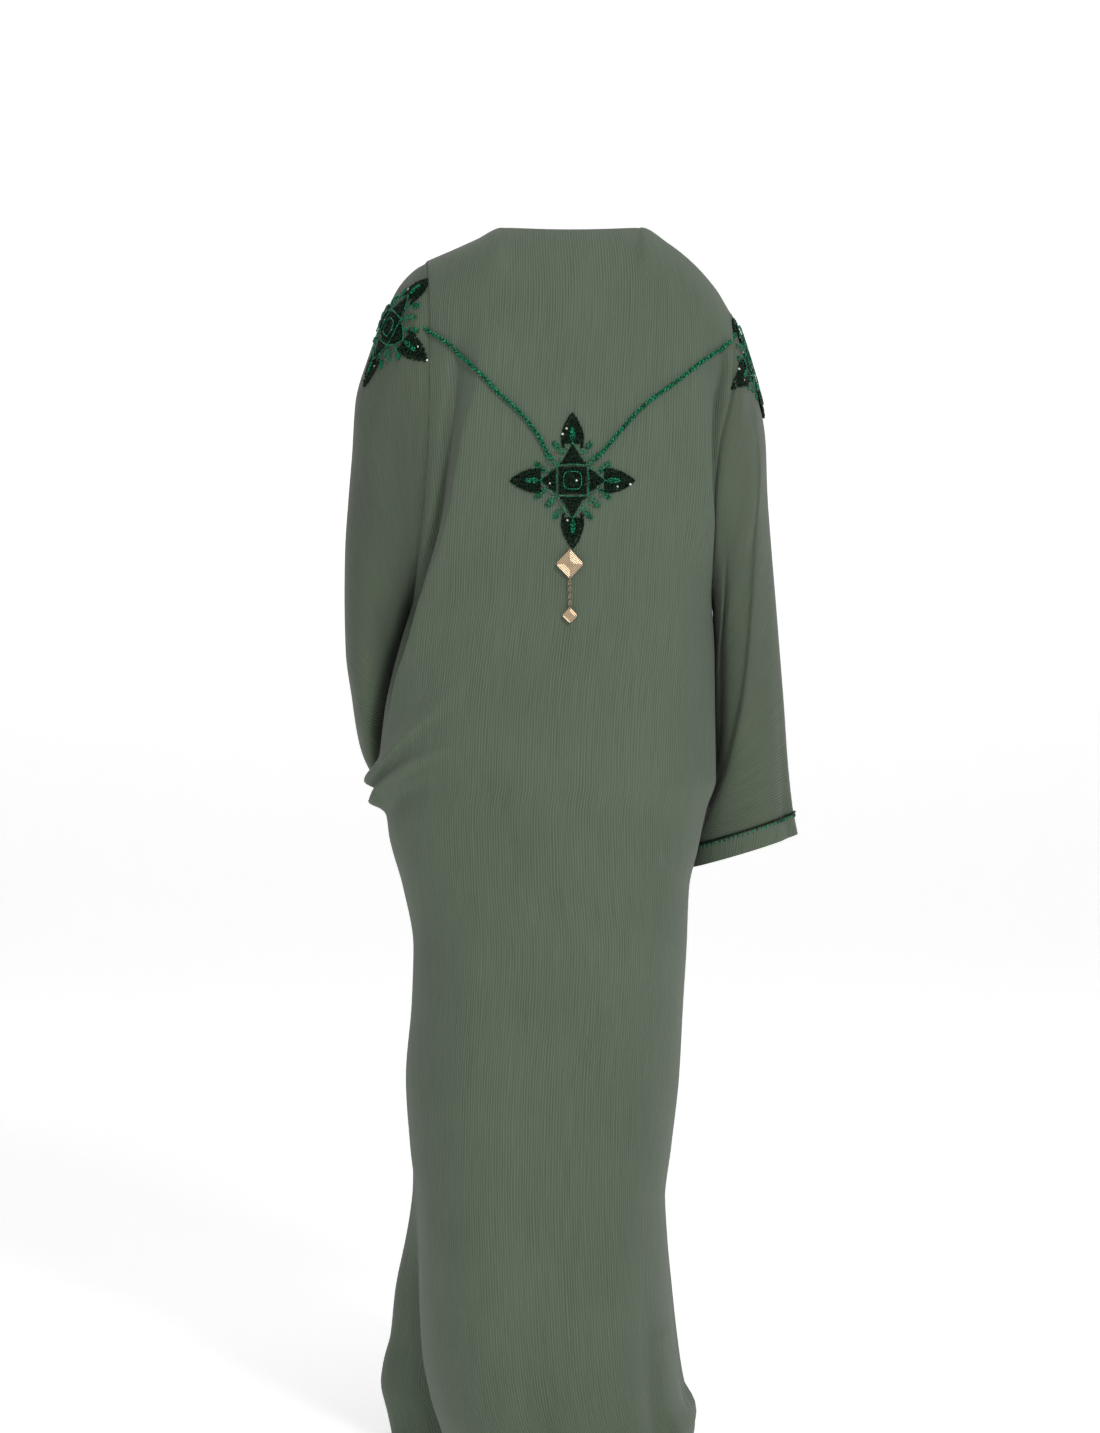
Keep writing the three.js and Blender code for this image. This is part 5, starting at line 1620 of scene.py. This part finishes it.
def left_sleeve(body: Body) -> Sleeve:
    """The left sleeve, bent forward to the hip.

    Args:
        body: The body that it is sewn to.

    Returns:
        The sleeve.
    """
    return Sleeve(
        body,
        -1,
        (
            (-173, -34, -189, -428, 0, 80, 1, 0),
            (-199, -46, -193.5, -437, 4, 84, 0.8, 0),
            (-222, -84, -196.3, -447, 9, 84, 0.6, 0),
            (-243, -134, -200, -457, 13, 82, 0.4, 0),
            (-258, -186, -203, -466, 17, 80, 0.2, 0),
            (-262, -245, -206, -476, 21, 78, 0, 0),
            (-267, -304, -209.4, -487, 25, 76, 0, 0),
            (-271, -363, -212.8, -500, 29, 74, 0, 0),
            (-272, -422, -215.4, -516, 34, 71, 0, 0),
            (-271, -481, -218.2, -537, 42, 71, 0, 8),
            (-265, -529, -223.5, -562, 58, 68, 0, 20),
            (-260, -568, -225, -590, 90, 63, 0, 34),
            (-248, -598, -202, -612, 120, 62, 0, 45),
            (-240, -618, -166, -630, 154, 61, 0, 50),
        ),
        (-234, -634, -144, -650, 180, 62, 0, 52),
        (
            Fold(8, 22, ((0.3, 88, 0), (0.55, 100, 9), (0.7, 117, 14), (0.82, 118, 13), (1, 120, 4))),
            Fold(14, 9, ((0.25, 60, 0), (0.55, 74, -7), (0.72, 86, -13), (0.85, 88, -11), (1, 90, -3))),
            Fold(9, 7, ((0.66, 40, 0), (0.73, 56, -7), (0.8, 76, -11), (0.87, 92, 0))),
            Fold(20, 20, ((0.25, 250, 0), (0.6, 256, 8), (1, 262, 6))),
        ),
    )


def right_sleeve(body: Body) -> Sleeve:
    """The right sleeve, hanging straight down.

    Args:
        body: The body that it is sewn to.

    Returns:
        The sleeve.
    """
    return Sleeve(
        body,
        1,
        (
            (186, -78, 166, -428, 0, 80, 1, 0),
            (197, -107, 168.8, -437, 4, 82, 0.8, 0),
            (210, -142, 169.1, -450, 9, 82, 0.6, 0),
            (223, -184, 169.7, -466, 14, 80, 0.4, 0),
            (231, -234, 169.9, -486, 18, 78, 0.2, 0),
            (233.5, -293, 169.9, -510, 22, 75, 0, 0),
            (238, -352, 170.5, -538, 26, 72, 0, 0),
            (244, -422, 170.7, -568, 29, 69, 0, 0),
            (250, -493, 171.1, -601, 34, 66, 0, 0),
            (255, -552, 171, -633, 40, 64, 0, 0),
            (259.5, -611, 165, -664, 47, 62, 0, 0),
            (264, -652, 158, -694, 55, 61, 0, 0),
            (267.5, -677, 153.5, -714, 60, 61, 0, 0),
        ),
        (273, -703, 151, -741, 66, 63, 0, 0),
        (
            Fold(36, 7, ((0.18, 44, 0), (0.34, 54, 5), (0.58, 88, 9), (0.76, 128, 10), (0.88, 150, 9), (1, 166, 7))),
            Fold(12, 14, ((0.2, 130, 0), (0.42, 140, -13), (0.6, 148, -12), (0.8, 166, 0))),
            Fold(14, 14, ((0.6, 38, 0), (0.85, 36, -4), (1, 34, -8))),
            Fold(20, 20, ((0.3, 262, 0), (0.7, 268, 9), (1, 272, 10))),
        ),
    )


def main() -> None:
    """Build the garment piece by piece and report each one."""
    logging.basicConfig(level=logging.INFO, format="%(name)s %(message)s")
    body = Body()
    left, right = left_sleeve(body), right_sleeve(body)
    finishes = Finishes()
    Cloth(body, left, right).build(finishes)
    back_patch = Patch(body.back_point, 1.0, -9.0)
    left_patch = Patch(left.point, 1.0, 0.012)
    right_patch = Patch(right.point, -1.0, 0.012)
    stars = (
        (back_patch, (0.0, -289.0), (0.0, 1.3), 0.0, "star_back"),
        (left_patch, (-212.0, -105.0), (0.2, 0.8), 28.0, "star_left"),
        (right_patch, (205.0, -139.0), (0.2, 0.6), -28.0, "star_right"),
    )
    for patch, (x, z), guess, turned, node in stars:
        a, b = patch.place_at(np.array([x]), np.array([z]), np.array([guess[0]]), np.array([guess[1]]))
        Star(patch, (a[0], b[0]), turned, node).build(finishes, node)
    Cord(back_patch, LEFT_ROPE, "rope_left").build(finishes)
    Cord(back_patch, RIGHT_ROPE, "rope_right").build(finishes)
    CuffBeads(left, "cuff_beads_left").build(finishes)
    CuffBeads(right, "cuff_beads_right").build(finishes)
    Pendant().build(finishes)
    Studio().build()


if __name__ == "__main__":
    main()
